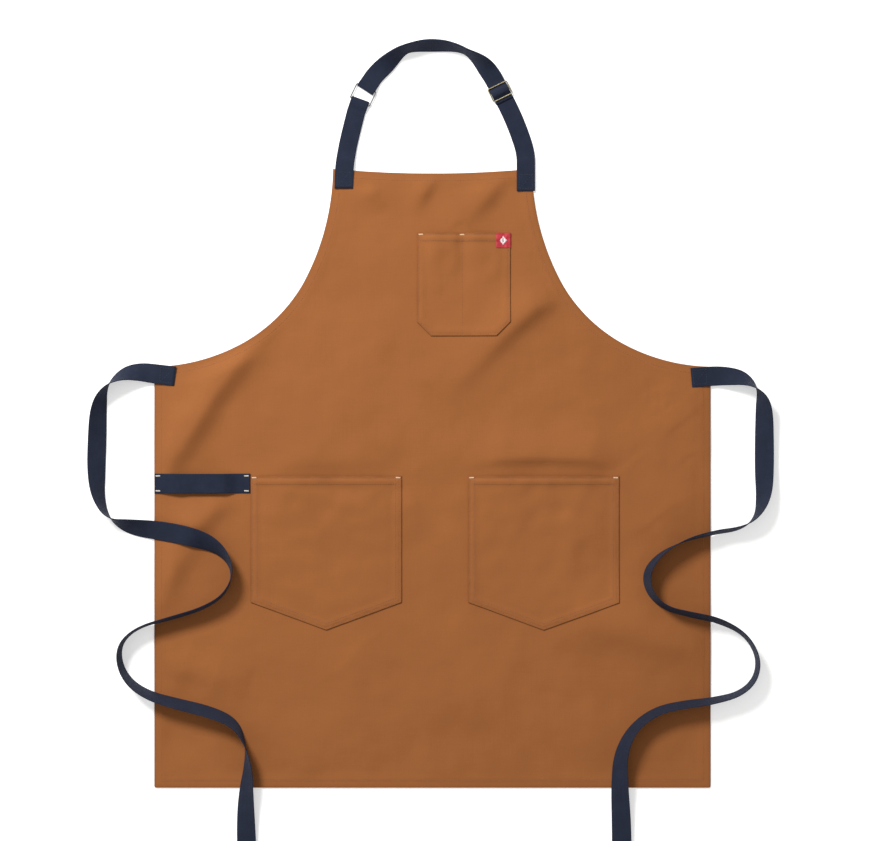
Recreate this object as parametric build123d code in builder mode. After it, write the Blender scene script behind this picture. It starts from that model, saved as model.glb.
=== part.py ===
"""Full bib apron laid flat, face up: canvas panel, three patch pockets, webbing straps and wire hardware.

Millimetres. +X is the wearer's left as the apron lies face up, +Y runs from hem to neck loop, +Z is up.
The origin is on the surface the apron lies on, at the middle of the apron without its free waist ties.
"""

import math
import os

from build123d import *

os.makedirs("parts", exist_ok=True)

# ---- cloth and tape ----
CLOTH = 0.7                    # canvas, one layer
HEM_LAYERS = 2                 # extra layers folded under along the panel's edge
HEM_WIDTH = 12.0
PANEL_TOP = CLOTH * (HEM_LAYERS + 1)
TAPE_WIDTH = 25.4              # waist ties and towel loop
TAPE_THICKNESS = 1.2
NECK_WIDTH = 24.0              # neck strap
THREAD_WIDTH = 0.8
THREAD_HEIGHT = 0.3
REST_GAP = 0.3                 # a loose tape's height over the panel

# ---- panel ----
PANEL_HALF_WIDTH = 361.4
PANEL_BOTTOM = -484.6
SIDE_TOP = 62.5                # where each side edge meets the armhole curve
BIB_HALF_WIDTH = 129.3
BIB_TOP = 319.5
BIB_DIP = 6.0                  # how far the bib's top edge sags at its middle
ARMHOLE = [(303, 70.5), (248.3, 92), (203.5, 125), (168.4, 170), (143.5, 229)]   # from side to bib
HEM_SEAM = 9.5                 # stitch line's distance from the panel's edge

# ---- lower pockets ----
POCKET_WIDTH = 196.0
POCKET_SIDE = 164.0
POCKET_TIP = 200.0
POCKET_MOUTH = -79.6
POCKET_LEFT_X = -138.1
POCKET_RIGHT_X = 144.3
POCKET_GAPE = 8.0              # height of the slack mouth over the panel
POCKET_FLANGE = 9.5            # width sewn flat to the panel

# ---- chest pocket ----
CHEST_LEFT = -20.0
CHEST_RIGHT = 101.0
CHEST_MOUTH = 236.3
CHEST_BOTTOM = 102.4
CHEST_CHAMFER = 18.0
CHEST_DIVIDER = 38.4           # seam between the pencil slot and the main compartment
CHEST_GAPE = 6.5
CHEST_FLANGE = 8.5
DIVIDER_HALF = 3.5
POCKET_HEM = 10.0              # depth of each mouth hem, down to its second stitch line
UPPER_HEM_SEAM = 3.0           # depth of a lower pocket's first stitch line
EDGE_SEAM = 2.0                # outer stitch line's distance from a pocket's edge
INNER_SEAM = 8.0               # inner stitch line's distance from a lower pocket's edge

# ---- towel loop ----
TOWEL_LEFT = -360.9
TOWEL_RIGHT = -236.7
TOWEL_Y = -89.2
TOWEL_SEWN = 15.0              # length sewn down at each end
TOWEL_RAMP = 20.0
TOWEL_GAP = 5.6

# ---- wire ring, between the neck tab and the neck strap ----
RING_CENTRE = (-90.1, 415.5)
RING_ANGLE = -25.6             # direction of its long bars
RING_WIRE = 1.7
RING_SPACING = 20.5            # between the long bars' centrelines
RING_INNER = 25.6              # clear length between its short sides
RING_CORNER = 1.8
FOLD_BACK = 4.25               # from a long bar's centreline back to the outside of the fold round it
UPPER_FOLD_ANGLE = 57.0        # neck strap's direction away from the ring
TAB_FOLD_ANGLE = 250.0         # neck tab's direction away from the ring
FOLD_LENGTH = 18.0
FOLD_END = FOLD_LENGTH - FOLD_BACK
JOINT_GAP = 0.8                # between a moving tape and the fixed tape it continues as
FOLD_FULL = 8.4                # how far from its bend a fold keeps its full height
FOLD_CLOSED = 17.0             # where its two layers meet
CAVITY_FULL = 7.6
CAVITY_CLOSED = 15.6
CAVITY_NIP = 0.05              # the cavity's height where it closes

# ---- strap slider ----
ARC_CENTRE = (-215.15, 246.36)   # the slider travels along this arc, which the single strap follows
ARC_RADIUS = 349.0
SLIDER_ANGLE = 29.8
ARC_LOW_ANGLE = 17.5           # where the strap leaves the arc and turns down to the bib
LOW_BEND_RADIUS = 77.8
SLIDER_SKEW = -3.8             # the frame sits slightly askew on the single strap
SLIDER_WIRE = 1.6
SLIDER_SPACING = 17.7          # between the outer bars' centrelines
SLIDER_INNER = 25.2
SLIDER_CORNER = 1.7
WEAVE_REACH = 12.0             # half the length of strap that is woven over the bar
WEAVE_FOOT = 6.4               # where the woven strap starts to rise towards the bar
WEAVE_CREST = 2.7              # half the length of its level crest
WEAVE_MITRE = (0.8, 0.7)       # how far its upper face lags behind the foot and the crest
WEAVE_CLEAR = 0.1
END_LOOP_TAIL = 3.6
END_LOOP_INSET = 0.4           # the end loop is narrower than the strap by this on each side
SLIDE_CLEAR = 0.3
END_LOOP_CLEAR = 0.25

# ---- bartacks and tag ----
BARTACK = (6.5, 2.2, 0.7)
TAG_SIZE = (18.2, 19.6)
TAG_THICKNESS = 0.5
STRAP_END_BOX = (8.4, 13.4)    # box of stitches at each sewn strap end

STATION_STEP = 7.0             # spacing of a loose tape's sections
SMOOTHING = 7.0                # half the length over which a tape's tilt is evened out

# Each waist tie's route from its sewn end: x, y, tilt of the tape in degrees, height of what it lies on.
# Tilt 0 is flat, 90 stands on edge with the left-hand edge up, and past 90 the other face shows.
TABLE = 0.2
OVER = PANEL_TOP + REST_GAP
TIE_LEFT_ROUTE = [
    (-334, 50, 0, PANEL_TOP), (-357, 52.6, 0, PANEL_TOP), (-381, 56, 24, PANEL_TOP),
    (-402, 53, 52, TABLE), (-423, 38.5, 90, TABLE), (-433, 10, 138, TABLE), (-435, -33, 154, TABLE),
    (-436, -72, 150, TABLE), (-433, -107, 120, TABLE), (-420, -135, 88, TABLE), (-392, -146, 35, 2.0),
    (-348, -151, 5, OVER), (-305, -159, 14, OVER), (-273, -174, 54, OVER), (-257, -201, 80, OVER),
    (-267, -231, 94, OVER), (-295, -250, 101, OVER), (-338, -263, 103, OVER), (-379, -274, 97, OVER),
    (-402, -292, 95, TABLE), (-407, -315, 97, TABLE), (-397, -342, 101, TABLE),
    (-372, -362, 108, OVER), (-330, -374, 115, OVER), (-288, -384, 117, OVER), (-256, -398, 109, OVER),
    (-242, -424, 88, OVER), (-238, -456, 62, OVER), (-242, -497, 34, OVER), (-242, -544, 10, 0.8),
    (-240, -590, 4, TABLE), (-241, -627, 2, TABLE),
]
TIE_RIGHT_ROUTE = [
    (336, 48, 0, PANEL_TOP), (358, 50, 0, PANEL_TOP), (382, 50.5, -18, PANEL_TOP),
    (405, 47.5, -46, TABLE), (422, 34, -86, TABLE), (430, 11, -140, TABLE), (430.5, -33, -156, TABLE),
    (430.5, -72, -157, TABLE), (429.5, -105, -132, TABLE), (420, -133, -92, TABLE),
    (400, -147.5, -76, TABLE), (363, -152.5, -74, OVER), (327, -162, -80, OVER), (295, -179, -94, OVER),
    (276, -203, -106, OVER), (279, -229, -106, OVER), (300, -250, -105, OVER),
    (335, -258.5, -110, OVER), (371, -266, -110, OVER), (405.5, -284, -99, TABLE),
    (422.5, -314, -95, TABLE), (418.5, -342.5, -94, TABLE), (398, -361.5, -96, 1.6),
    (365, -370, -102, OVER), (329, -374, -105, OVER), (290, -382, -105, OVER), (258, -406, -108, OVER),
    (243, -440, -126, OVER), (242.5, -480, -145, OVER), (245, -523, -162, 0.8),
    (246, -566, -172, TABLE), (245, -612, -175, TABLE), (246, -645, -177, TABLE),
]
# The doubled neck strap from the ring over the top to the slider: x, y, tilt.
NECK_ROUTE = [
    (-75.3, 440.35, 1), (-68.2, 447.6, 6), (-60.2, 454.2, 24), (-51, 461.9, 46), (-42.5, 469, 62),
    (-33.5, 474, 74), (-23, 476.5, 70), (-10, 478, 62), (3, 478.2, 61), (16, 477.5, 66), (26.5, 475.9, 74),
    (35.5, 473.6, 80), (43, 470.3, 83), (50, 466, 76), (57.5, 460.6, 60), (65.5, 453.8, 38),
    (73.2, 445.6, 12), (79.2, 436.8, 3),
]
TAB_ROUTE = [(-107.8, 360), (-112.4, 336), (-115.0, 316), (-115.2, 293.7)]
NECK_SEWN_END = 290.5
STEP_CLEAR = 9.5               # how far past the bib's edge a strap starts to come down onto the table
STEP_LENGTH = 9.0


def polar(centre, radius, degrees):
    """The point at that distance and direction from centre."""
    angle = math.radians(degrees)
    return (centre[0] + radius * math.cos(angle), centre[1] + radius * math.sin(angle))


def arc_radii(points):
    """One radius for each corner of a route: 0.45 of the shorter run over the tangent of half the turn."""
    corners = [Vector(*p[:2]) for p in points]
    radii = []
    for before, here, after in zip(corners, corners[1:], corners[2:]):
        run_in, run_out = here - before, after - here
        half_turn = math.radians(run_in.get_angle(run_out) / 2)
        radii.append(0.45 * min(run_in.length, run_out.length) / math.tan(half_turn))
    return radii


def plan_line(points):
    """The route seen from above, as straight runs joined by tangent arcs."""
    with BuildLine() as line:
        FilletPolyline(*[p[:2] for p in points], radius=arc_radii(points))
    return line.wire()


def along(points, column, share):
    """A route's tilt or rest height at a share of its length, evened out over a short stretch."""
    corners = [Vector(*p[:2]) for p in points]
    reached = [0.0]
    for before, here in zip(corners, corners[1:]):
        reached.append(reached[-1] + (here - before).length)
    total = 0.0
    for nudge in (-1.0, -0.5, 0.0, 0.5, 1.0):
        at = min(max(share * reached[-1] + nudge * SMOOTHING, 0.0), reached[-1])
        i = min(max(sum(r <= at for r in reached) - 1, 0), len(points) - 2)
        part = (at - reached[i]) / (reached[i + 1] - reached[i])
        total += points[i][column] + part * (points[i + 1][column] - points[i][column])
    return total / 5


def tape_planes(line, tilt_at, rest_at, width, thickness, level):
    """Section planes of a tape whose lower edge touches what it lies on. level is the layer's mid height."""
    count = max(2, round(line.length / STATION_STEP))
    for i in range(count + 1):
        share = i / count
        spot, ahead = line.position_at(share), line.tangent_at(share)
        tilt = math.radians(tilt_at(share))
        side = Vector(-ahead.Y, ahead.X, 0)
        across = side * math.cos(tilt) + Vector(0, 0, math.sin(tilt))
        face = ahead.cross(across)
        outward = face if face.Z >= 0 else face * -1
        height = rest_at(share) + abs(math.sin(tilt)) * width / 2 + abs(math.cos(tilt)) * thickness / 2
        origin = Vector(spot.X, spot.Y, height) + outward * level
        yield Plane(origin=origin, x_dir=across, z_dir=ahead)


def tape(line, tilt_at, rest_at, width, thickness=TAPE_THICKNESS, layer=None, level=0.0):
    """A length of webbing lofted along a line. layer is one layer's thickness where the stack is thicker."""
    with BuildPart() as webbing:
        for plane in tape_planes(line, tilt_at, rest_at, width, thickness, level):
            with BuildSketch(plane):
                Rectangle(width, layer or thickness)
        loft(ruled=True)
    return webbing.part


def panel_face():
    """The panel's outline as a face."""
    with BuildSketch() as face:
        with BuildLine():
            side = Line((0, PANEL_BOTTOM), (PANEL_HALF_WIDTH, PANEL_BOTTOM))
            edge = Line(side @ 1, (PANEL_HALF_WIDTH, SIDE_TOP))
            waist = ThreePointArc(edge @ 1, ARMHOLE[0], ARMHOLE[1])
            scoop = ThreePointArc(waist @ 1, ARMHOLE[2], ARMHOLE[3])
            bib = ThreePointArc(scoop @ 1, ARMHOLE[4], (BIB_HALF_WIDTH, BIB_TOP))
            ThreePointArc(bib @ 1, (BIB_HALF_WIDTH / 2, BIB_TOP - BIB_DIP * 0.75), (0, BIB_TOP - BIB_DIP))
            mirror(about=Plane.YZ)
        make_face()
    return face.sketch


def pocket_outline(width, side, tip):
    """A lower pocket's five-sided outline, its mouth's middle at the origin."""
    half = width / 2
    with BuildSketch() as face:
        with BuildLine():
            Polyline((-half, 0), (half, 0), (half, -side), (0, -tip), (-half, -side), close=True)
        make_face()
    return face.sketch


def chest_outline():
    """The chest pocket's outline in place: a rectangle with its lower corners cut off."""
    left, right, top, low, cut = CHEST_LEFT, CHEST_RIGHT, CHEST_MOUTH, CHEST_BOTTOM, CHEST_CHAMFER
    with BuildSketch() as face:
        with BuildLine():
            Polyline(
                (left, top), (right, top), (right, low + cut), (right - cut, low), (left + cut, low),
                (left, low + cut), close=True,
            )
        make_face()
    return face.sketch


def bulge(x, mouth, half_width, gape, depth, rise):
    """The space under a slack pocket front: a wide cylinder that dips into the panel towards the bottom."""
    radius = (half_width**2 + gape**2) / (2 * gape)
    lead = 20.0
    slope = gape / depth
    start = Vector(x, mouth + lead, PANEL_TOP + gape + slope * lead - radius)
    heading = Vector(0, -1, -slope)
    with BuildPart() as space:
        with BuildSketch(Plane(origin=start, x_dir=(1, 0, 0), z_dir=heading)):
            Circle(radius + rise)
        extrude(amount=depth + 2 * lead)
        with BuildSketch(Plane.XY.offset(PANEL_TOP)):
            with Locations((x, mouth - depth / 2)):
                Rectangle(4 * half_width, 2 * depth + 4 * lead)
        extrude(amount=gape * 3, mode=Mode.INTERSECT)
    return space.part


def under_front(outline, bulges, rise):
    """The solid between the panel and a pocket front's surface, raised by rise."""
    spaces = [bulge(*spec, rise) for spec in bulges]
    with BuildPart() as below:
        with BuildSketch(Plane.XY.offset(PANEL_TOP)):
            add(outline)
        extrude(amount=rise)
        add(spaces)
        with BuildSketch(Plane.XY.offset(PANEL_TOP)):
            add(outline)
        extrude(amount=40, mode=Mode.INTERSECT)
    return below.part


def pocket_front(outline, bulges):
    """One layer of canvas sewn flat round its sides and bottom and slack at its mouth."""
    outside = under_front(outline, bulges, CLOTH)
    hollows = [bulge(*spec, 0) for spec in bulges]
    with BuildPart() as front:
        add(outside)
        add(hollows, mode=Mode.SUBTRACT)
    return front.part


def on_front(outline, bulges, shape, thickness):
    """A thin layer of the given plan shape lying on a pocket front."""
    upper = under_front(outline, bulges, CLOTH + thickness)
    lower = under_front(outline, bulges, CLOTH)
    with BuildPart() as layer:
        add(upper)
        add(lower, mode=Mode.SUBTRACT)
        with BuildSketch(Plane.XY.offset(PANEL_TOP)):
            add(shape)
        extrude(amount=40, mode=Mode.INTERSECT)
    return layer.part


def rectangles(places):
    """A sketch of rectangles, each given as its middle, length, width and turn."""
    with BuildSketch() as shape:
        for x, y, length, width, turn in places:
            with Locations((x, y)):
                Rectangle(length, width, rotation=turn)
    return shape.sketch


def band(outline, inset, width):
    """A band of the given width along an outline, inset from it."""
    inner = offset(outline, amount=-inset - width, kind=Kind.INTERSECTION, mode=Mode.PRIVATE)
    outer = outline
    if inset:
        outer = offset(outline, amount=-inset, kind=Kind.INTERSECTION, mode=Mode.PRIVATE)
    with BuildSketch() as strip:
        add(outer)
        add(inner, mode=Mode.SUBTRACT)
    return strip.sketch


def seam_loop(outline, inset):
    """A line of thread all round an outline."""
    return band(outline, inset, THREAD_WIDTH)


def bars(places, base):
    """Bartacks: short raised bars of dense thread, one solid each. A place is a middle and a turn."""
    length, width, height = BARTACK
    with BuildPart() as blocks:
        with BuildSketch(Plane.XY.offset(base)):
            for x, y, turn in places:
                with Locations((x, y)):
                    Rectangle(length, width, rotation=turn)
        extrude(amount=height)
    return blocks.part


def ring_bar(side):
    """The middle of the ring's upper long bar for side 1, of its lower one for -1."""
    return polar(RING_CENTRE, RING_SPACING / 2, RING_ANGLE + side * 90)


def strap_fold(bar, angle):
    """A strap end folded round one long bar of the ring, from its fold out to where its layers meet."""
    fold = polar(bar, -FOLD_BACK, angle)
    ahead = Vector(*polar((0, 0), 1, angle), 0)
    lateral = ahead.cross(Vector(0, 0, 1))
    t = TAPE_THICKNESS
    cavity = RING_WIRE + 2 * SLIDE_CLEAR
    top = cavity + 2 * t
    with BuildPart() as end:
        with BuildSketch(Plane(origin=(*fold, 0), x_dir=ahead, z_dir=lateral)):
            with BuildLine():
                Polyline(
                    (top / 2, 0), (FOLD_LENGTH, 0), (FOLD_LENGTH, 2 * t), (FOLD_CLOSED, 2 * t),
                    (FOLD_FULL, top), (top / 2, top),
                )
                ThreePointArc((top / 2, top), (0, top / 2), (top / 2, 0))
            make_face()
            with BuildLine():
                Polyline(
                    (top / 2, t), (CAVITY_FULL, t), (CAVITY_CLOSED, t + CAVITY_NIP),
                    (CAVITY_FULL, t + cavity), (top / 2, t + cavity),
                )
                ThreePointArc((top / 2, t + cavity), (t, top / 2), (top / 2, t))
            make_face(mode=Mode.SUBTRACT)
        extrude(amount=NECK_WIDTH / 2, both=True)
    return end.part


def wire_loop(centre, height, turn, length, spacing, corner, wire):
    """A rounded rectangle of round wire lying flat. length and spacing are between centrelines."""
    half_l, half_s = length / 2, spacing / 2
    with BuildPart() as loop:
        with BuildLine(Plane(origin=(*centre, height)).rotated((0, 0, turn))) as rail:
            FilletPolyline(
                (-half_l, -half_s), (half_l, -half_s), (half_l, half_s), (-half_l, half_s),
                radius=corner, close=True,
            )
        with BuildSketch(Plane(origin=rail.line @ 0, z_dir=rail.line % 0)):
            Circle(wire / 2)
        sweep()
    return loop.part


def save(name, part):
    """Label a finished piece and write it as its own STEP file."""
    part.label = name
    export_step(part, f"parts/{name}.step")


def steady(value):
    """A tilt or rest height that stays the same along a tape."""
    return lambda share: value


# ---- panel: one sheet with its edge folded under twice ----
outline = panel_face()
hem = band(outline, 0, HEM_WIDTH)
with BuildPart() as apron_panel:
    with BuildSketch():
        add(hem)
    extrude(amount=CLOTH * HEM_LAYERS)
    with BuildSketch(Plane.XY.offset(CLOTH * HEM_LAYERS)):
        add(outline)
    extrude(amount=CLOTH)
save("apron_panel", apron_panel.part)

# ---- the patches where webbing is sewn over the hem's stitching ----
arc_low = polar(ARC_CENTRE, ARC_RADIUS, ARC_LOW_ANGLE)
low_bend_centre = polar(arc_low, -LOW_BEND_RADIUS, ARC_LOW_ANGLE)
neck_left, neck_right = TAB_ROUTE[-1], (low_bend_centre[0] + LOW_BEND_RADIUS, NECK_SEWN_END)
tie_left, tie_right = TIE_LEFT_ROUTE[0], TIE_RIGHT_ROUTE[0]
towel_middle = (TOWEL_LEFT + TOWEL_RIGHT) / 2
sewn_patches = rectangles([
    (neck_left[0], neck_left[1] + 20, NECK_WIDTH + 1, 40.4, 0),
    (neck_right[0], neck_right[1] + 20, NECK_WIDTH + 1, 40.4, 0),
    (tie_left[0] - 20, tie_left[1] + 2, 42, TAPE_WIDTH + 8, 0),
    (tie_right[0] + 20, tie_right[1] + 1, 42, TAPE_WIDTH + 6, 0),
    (towel_middle, TOWEL_Y, TOWEL_RIGHT - TOWEL_LEFT + 6, TAPE_WIDTH + 1, 0),
])
hem_seam = seam_loop(outline, HEM_SEAM)
with BuildPart() as hem_stitching:
    with BuildSketch(Plane.XY.offset(PANEL_TOP)):
        add(hem_seam)
        add(sewn_patches, mode=Mode.SUBTRACT)
    extrude(amount=THREAD_HEIGHT)
save("hem_stitching", hem_stitching.part)

# ---- lower pockets, left and right alike ----
pocket_tacks = []
lower_face = pocket_outline(POCKET_WIDTH, POCKET_SIDE, POCKET_TIP)
for side, middle in (("left", POCKET_LEFT_X), ("right", POCKET_RIGHT_X)):
    patch = lower_face.moved(Location((middle, POCKET_MOUTH, 0)))
    slack = [(middle, POCKET_MOUTH, POCKET_WIDTH / 2 - POCKET_FLANGE, POCKET_GAPE, POCKET_SIDE - 20)]
    save(f"pocket_{side}", pocket_front(patch, slack))
    hem_length = POCKET_WIDTH - 2 * EDGE_SEAM
    hem_lines = rectangles([
        (middle, POCKET_MOUTH - depth, hem_length, THREAD_WIDTH, 0) for depth in (UPPER_HEM_SEAM, POCKET_HEM)
    ])
    corner = POCKET_WIDTH / 2 - BARTACK[0] / 2 - 1
    tacks = [(middle - corner, POCKET_MOUTH - 1.5, 0), (middle + corner, POCKET_MOUTH - 1.5, 0)]
    pocket_tacks += tacks
    rows = [seam_loop(patch, EDGE_SEAM), seam_loop(patch, INNER_SEAM)]
    with BuildSketch() as seams:
        add(rows)
        with Locations((middle, POCKET_MOUTH)):
            Rectangle(POCKET_WIDTH - 2 * POCKET_FLANGE, 2 * POCKET_FLANGE, mode=Mode.SUBTRACT)
        add(hem_lines)
        for x, y, turn in tacks:
            with Locations((x, y)):
                Rectangle(BARTACK[0] + 0.2, 2 * BARTACK[1] + 0.2, mode=Mode.SUBTRACT)
    save(f"pocket_{side}_stitching", on_front(patch, slack, seams.sketch, THREAD_HEIGHT))

# ---- chest pocket, with a pencil slot beside its main compartment ----
chest_face = chest_outline()
slot_low, slot_high = CHEST_LEFT + CHEST_FLANGE, CHEST_DIVIDER - DIVIDER_HALF
main_low, main_high = CHEST_DIVIDER + DIVIDER_HALF, CHEST_RIGHT - CHEST_FLANGE
chest_depth = CHEST_MOUTH - CHEST_BOTTOM - CHEST_CHAMFER
chest_slack = [
    ((low + high) / 2, CHEST_MOUTH, (high - low) / 2, CHEST_GAPE, chest_depth)
    for low, high in ((slot_low, slot_high), (main_low, main_high))
]
save("chest_pocket", pocket_front(chest_face, chest_slack))
tag_place = (CHEST_RIGHT - TAG_SIZE[0] / 2 - 0.2, CHEST_MOUTH - TAG_SIZE[1] / 2 - 0.2, *TAG_SIZE, 0)
chest_middle, chest_width = (CHEST_LEFT + CHEST_RIGHT) / 2, CHEST_RIGHT - CHEST_LEFT
chest_tacks = [(CHEST_LEFT + 4.5, CHEST_MOUTH - 2, 0), (CHEST_DIVIDER, CHEST_MOUTH - 2, 0)]
chest_edge = seam_loop(chest_face, EDGE_SEAM)
chest_lines = rectangles([
    (chest_middle, CHEST_MOUTH - POCKET_HEM, chest_width - 2 * EDGE_SEAM, THREAD_WIDTH, 0),
    (CHEST_DIVIDER, (CHEST_MOUTH + CHEST_BOTTOM) / 2, THREAD_WIDTH, CHEST_MOUTH - CHEST_BOTTOM - 4, 0),
])
tag_shape = rectangles([tag_place])
with BuildSketch() as chest_seams:
    add([chest_edge, chest_lines])
    add(tag_shape, mode=Mode.SUBTRACT)
    for x, y, turn in chest_tacks:
        with Locations((x, y)):
            Rectangle(BARTACK[0] + 0.2, 2 * BARTACK[1] + 0.2, rotation=turn, mode=Mode.SUBTRACT)
save("chest_pocket_stitching", on_front(chest_face, chest_slack, chest_seams.sketch, THREAD_HEIGHT))
save("woven_tag", on_front(chest_face, chest_slack, tag_shape, TAG_THICKNESS))
save("pocket_bartacks", bars(pocket_tacks + chest_tacks, PANEL_TOP + CLOTH))

# ---- towel loop: webbing sewn down at both ends, arched between ----
with BuildPart() as towel_loop:
    with BuildLine(Plane.XZ.offset(-TOWEL_Y)) as arch:
        low, high = PANEL_TOP + TAPE_THICKNESS / 2, PANEL_TOP + TOWEL_GAP + TAPE_THICKNESS / 2
        ramp_in, ramp_out = TOWEL_LEFT + TOWEL_SEWN, TOWEL_RIGHT - TOWEL_SEWN
        FilletPolyline(
            (TOWEL_LEFT, low), (ramp_in, low), (ramp_in + TOWEL_RAMP, high), (ramp_out - TOWEL_RAMP, high),
            (ramp_out, low), (TOWEL_RIGHT, low), radius=25,
        )
    with BuildSketch(Plane(origin=arch.line @ 0, x_dir=(0, 1, 0), z_dir=(1, 0, 0))):
        Rectangle(TAPE_WIDTH, TAPE_THICKNESS)
    sweep()
save("towel_loop", towel_loop.part)
towel_tacks = [
    (x, TOWEL_Y + up * (TAPE_WIDTH / 2 - 3), 0)
    for x in (TOWEL_LEFT + 4.5, TOWEL_RIGHT - 4.5) for up in (-1, 1)
]
save("towel_loop_bartacks", bars(towel_tacks, PANEL_TOP + TAPE_THICKNESS))


# ---- neck tab: doubled webbing from the bib's left corner round the ring's lower bar ----
def off_bib(line, clear, height):
    """Rest height along a strap that comes down from the bib's top edge onto the table."""
    def rest(share):
        beyond = line.position_at(share).Y - BIB_TOP - clear
        return max(0.0, min(1.0, 1 - beyond / height)) * PANEL_TOP
    return rest


tab_line = plan_line([polar(ring_bar(-1), FOLD_END, TAB_FOLD_ANGLE), *TAB_ROUTE])
tab_rest = off_bib(tab_line, STEP_CLEAR, STEP_LENGTH)
tab_strap = tape(tab_line, steady(0), tab_rest, NECK_WIDTH, 2 * TAPE_THICKNESS)
tab_fold = strap_fold(ring_bar(-1), TAB_FOLD_ANGLE)
with BuildPart() as neck_tab:
    add(tab_strap)
    add(tab_fold)
save("neck_tab", neck_tab.part)

slider_centre = polar(ARC_CENTRE, ARC_RADIUS, SLIDER_ANGLE)
frame_turn = SLIDER_ANGLE + SLIDER_SKEW

# ---- ring and the neck strap's folded end, which moves with it ----
ring_height = TAPE_THICKNESS + SLIDE_CLEAR + RING_WIRE / 2
save("strap_ring", wire_loop(
    RING_CENTRE, ring_height, RING_ANGLE, RING_INNER + RING_WIRE, RING_SPACING, RING_CORNER, RING_WIRE,
))
save("neck_strap_fold", strap_fold(ring_bar(1), UPPER_FOLD_ANGLE))

# ---- neck strap: two layers from the ring over the top to the slider ----
ring_side = polar(ring_bar(1), FOLD_END + JOINT_GAP, UPPER_FOLD_ANGLE)
slider_side = polar(slider_centre, WEAVE_REACH + JOINT_GAP, frame_turn + 90)
neck_points = [(*ring_side, 0), *NECK_ROUTE, (*slider_side, 0)]
neck_line = plan_line(neck_points)
pair = 2 * TAPE_THICKNESS + 0.1
for name, level in (("neck_strap_upper", 1), ("neck_strap_return", -1)):
    save(name, tape(
        neck_line, lambda share: along(neck_points, 2, share), steady(0), NECK_WIDTH, pair,
        layer=TAPE_THICKNESS, level=level * (TAPE_THICKNESS + 0.1) / 2,
    ))

# ---- neck strap: one layer from under the slider along the arc to the bib's right corner ----
with BuildLine() as lower_line:
    arc_start = SLIDER_ANGLE + math.degrees(10 / ARC_RADIUS)
    CenterArc(ARC_CENTRE, ARC_RADIUS, arc_start, ARC_LOW_ANGLE - arc_start)
    low_bend = CenterArc(low_bend_centre, LOW_BEND_RADIUS, ARC_LOW_ANGLE, -ARC_LOW_ANGLE)
    Line(low_bend @ 1, neck_right)
lower_wire = lower_line.wire()
lower_rest = off_bib(lower_wire, STEP_CLEAR, STEP_LENGTH)
save("neck_strap_lower", tape(lower_wire, steady(0), lower_rest, NECK_WIDTH))

# ---- slider: frame, centre bar, the stretch woven over the bar and the strap's end looped round it ----
loop_outer = SLIDER_WIRE / 2 + END_LOOP_CLEAR + TAPE_THICKNESS
slider_height = TAPE_THICKNESS + SLIDE_CLEAR + loop_outer
bar_length = SLIDER_INNER + SLIDER_WIRE
save("slider_frame", wire_loop(
    slider_centre, slider_height, frame_turn, bar_length, SLIDER_SPACING, SLIDER_CORNER, SLIDER_WIRE,
))
bar_axis = Vector(*polar((0, 0), 1, frame_turn), 0)
bar_plane = Plane(origin=(*slider_centre, slider_height), x_dir=(0, 0, 1), z_dir=bar_axis)
with BuildPart() as slider_center_bar:
    with BuildSketch(bar_plane):
        Circle(SLIDER_WIRE / 2)
    extrude(amount=bar_length / 2, both=True)
save("slider_center_bar", slider_center_bar.part)

# Side views of the slider's tapes: x runs along the strap towards the ring, y is up from the frame's plane.
up_strap = Vector(*polar((0, 0), 1, frame_turn + 90), 0)
across_strap = up_strap.cross(Vector(0, 0, 1))
low = TAPE_THICKNESS + SLIDE_CLEAR - slider_height
crest = loop_outer + WEAVE_CLEAR
foot_above, crest_above = WEAVE_FOOT + WEAVE_MITRE[0], WEAVE_CREST + WEAVE_MITRE[1]
with BuildPart() as neck_strap_weave:
    with BuildSketch(Plane(origin=(*slider_centre, slider_height), x_dir=up_strap, z_dir=across_strap)):
        with BuildLine():
            Polyline(
                (-WEAVE_REACH, low), (-WEAVE_FOOT, low), (-WEAVE_CREST, crest), (WEAVE_CREST, crest),
                (WEAVE_FOOT, low), (WEAVE_REACH, low), (WEAVE_REACH, low + TAPE_THICKNESS),
                (foot_above, low + TAPE_THICKNESS), (crest_above, crest + TAPE_THICKNESS),
                (-crest_above, crest + TAPE_THICKNESS), (-foot_above, low + TAPE_THICKNESS),
                (-WEAVE_REACH, low + TAPE_THICKNESS), close=True,
            )
        make_face()
    extrude(amount=NECK_WIDTH / 2, both=True)
save("neck_strap_weave", neck_strap_weave.part)

loop_inner = loop_outer - TAPE_THICKNESS
up_frame = Vector(0, 0, 1).cross(bar_axis)
loop_plane = Plane(origin=(*slider_centre, slider_height), x_dir=up_frame, z_dir=bar_axis)
with BuildPart() as neck_strap_end:
    with BuildSketch(loop_plane):
        Circle(loop_outer)
        with Locations((END_LOOP_TAIL / 2, -(loop_inner + loop_outer) / 2)):
            Rectangle(END_LOOP_TAIL, TAPE_THICKNESS)
        Circle(loop_inner, mode=Mode.SUBTRACT)
    extrude(amount=NECK_WIDTH / 2 - END_LOOP_INSET, both=True)
save("neck_strap_end", neck_strap_end.part)

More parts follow.
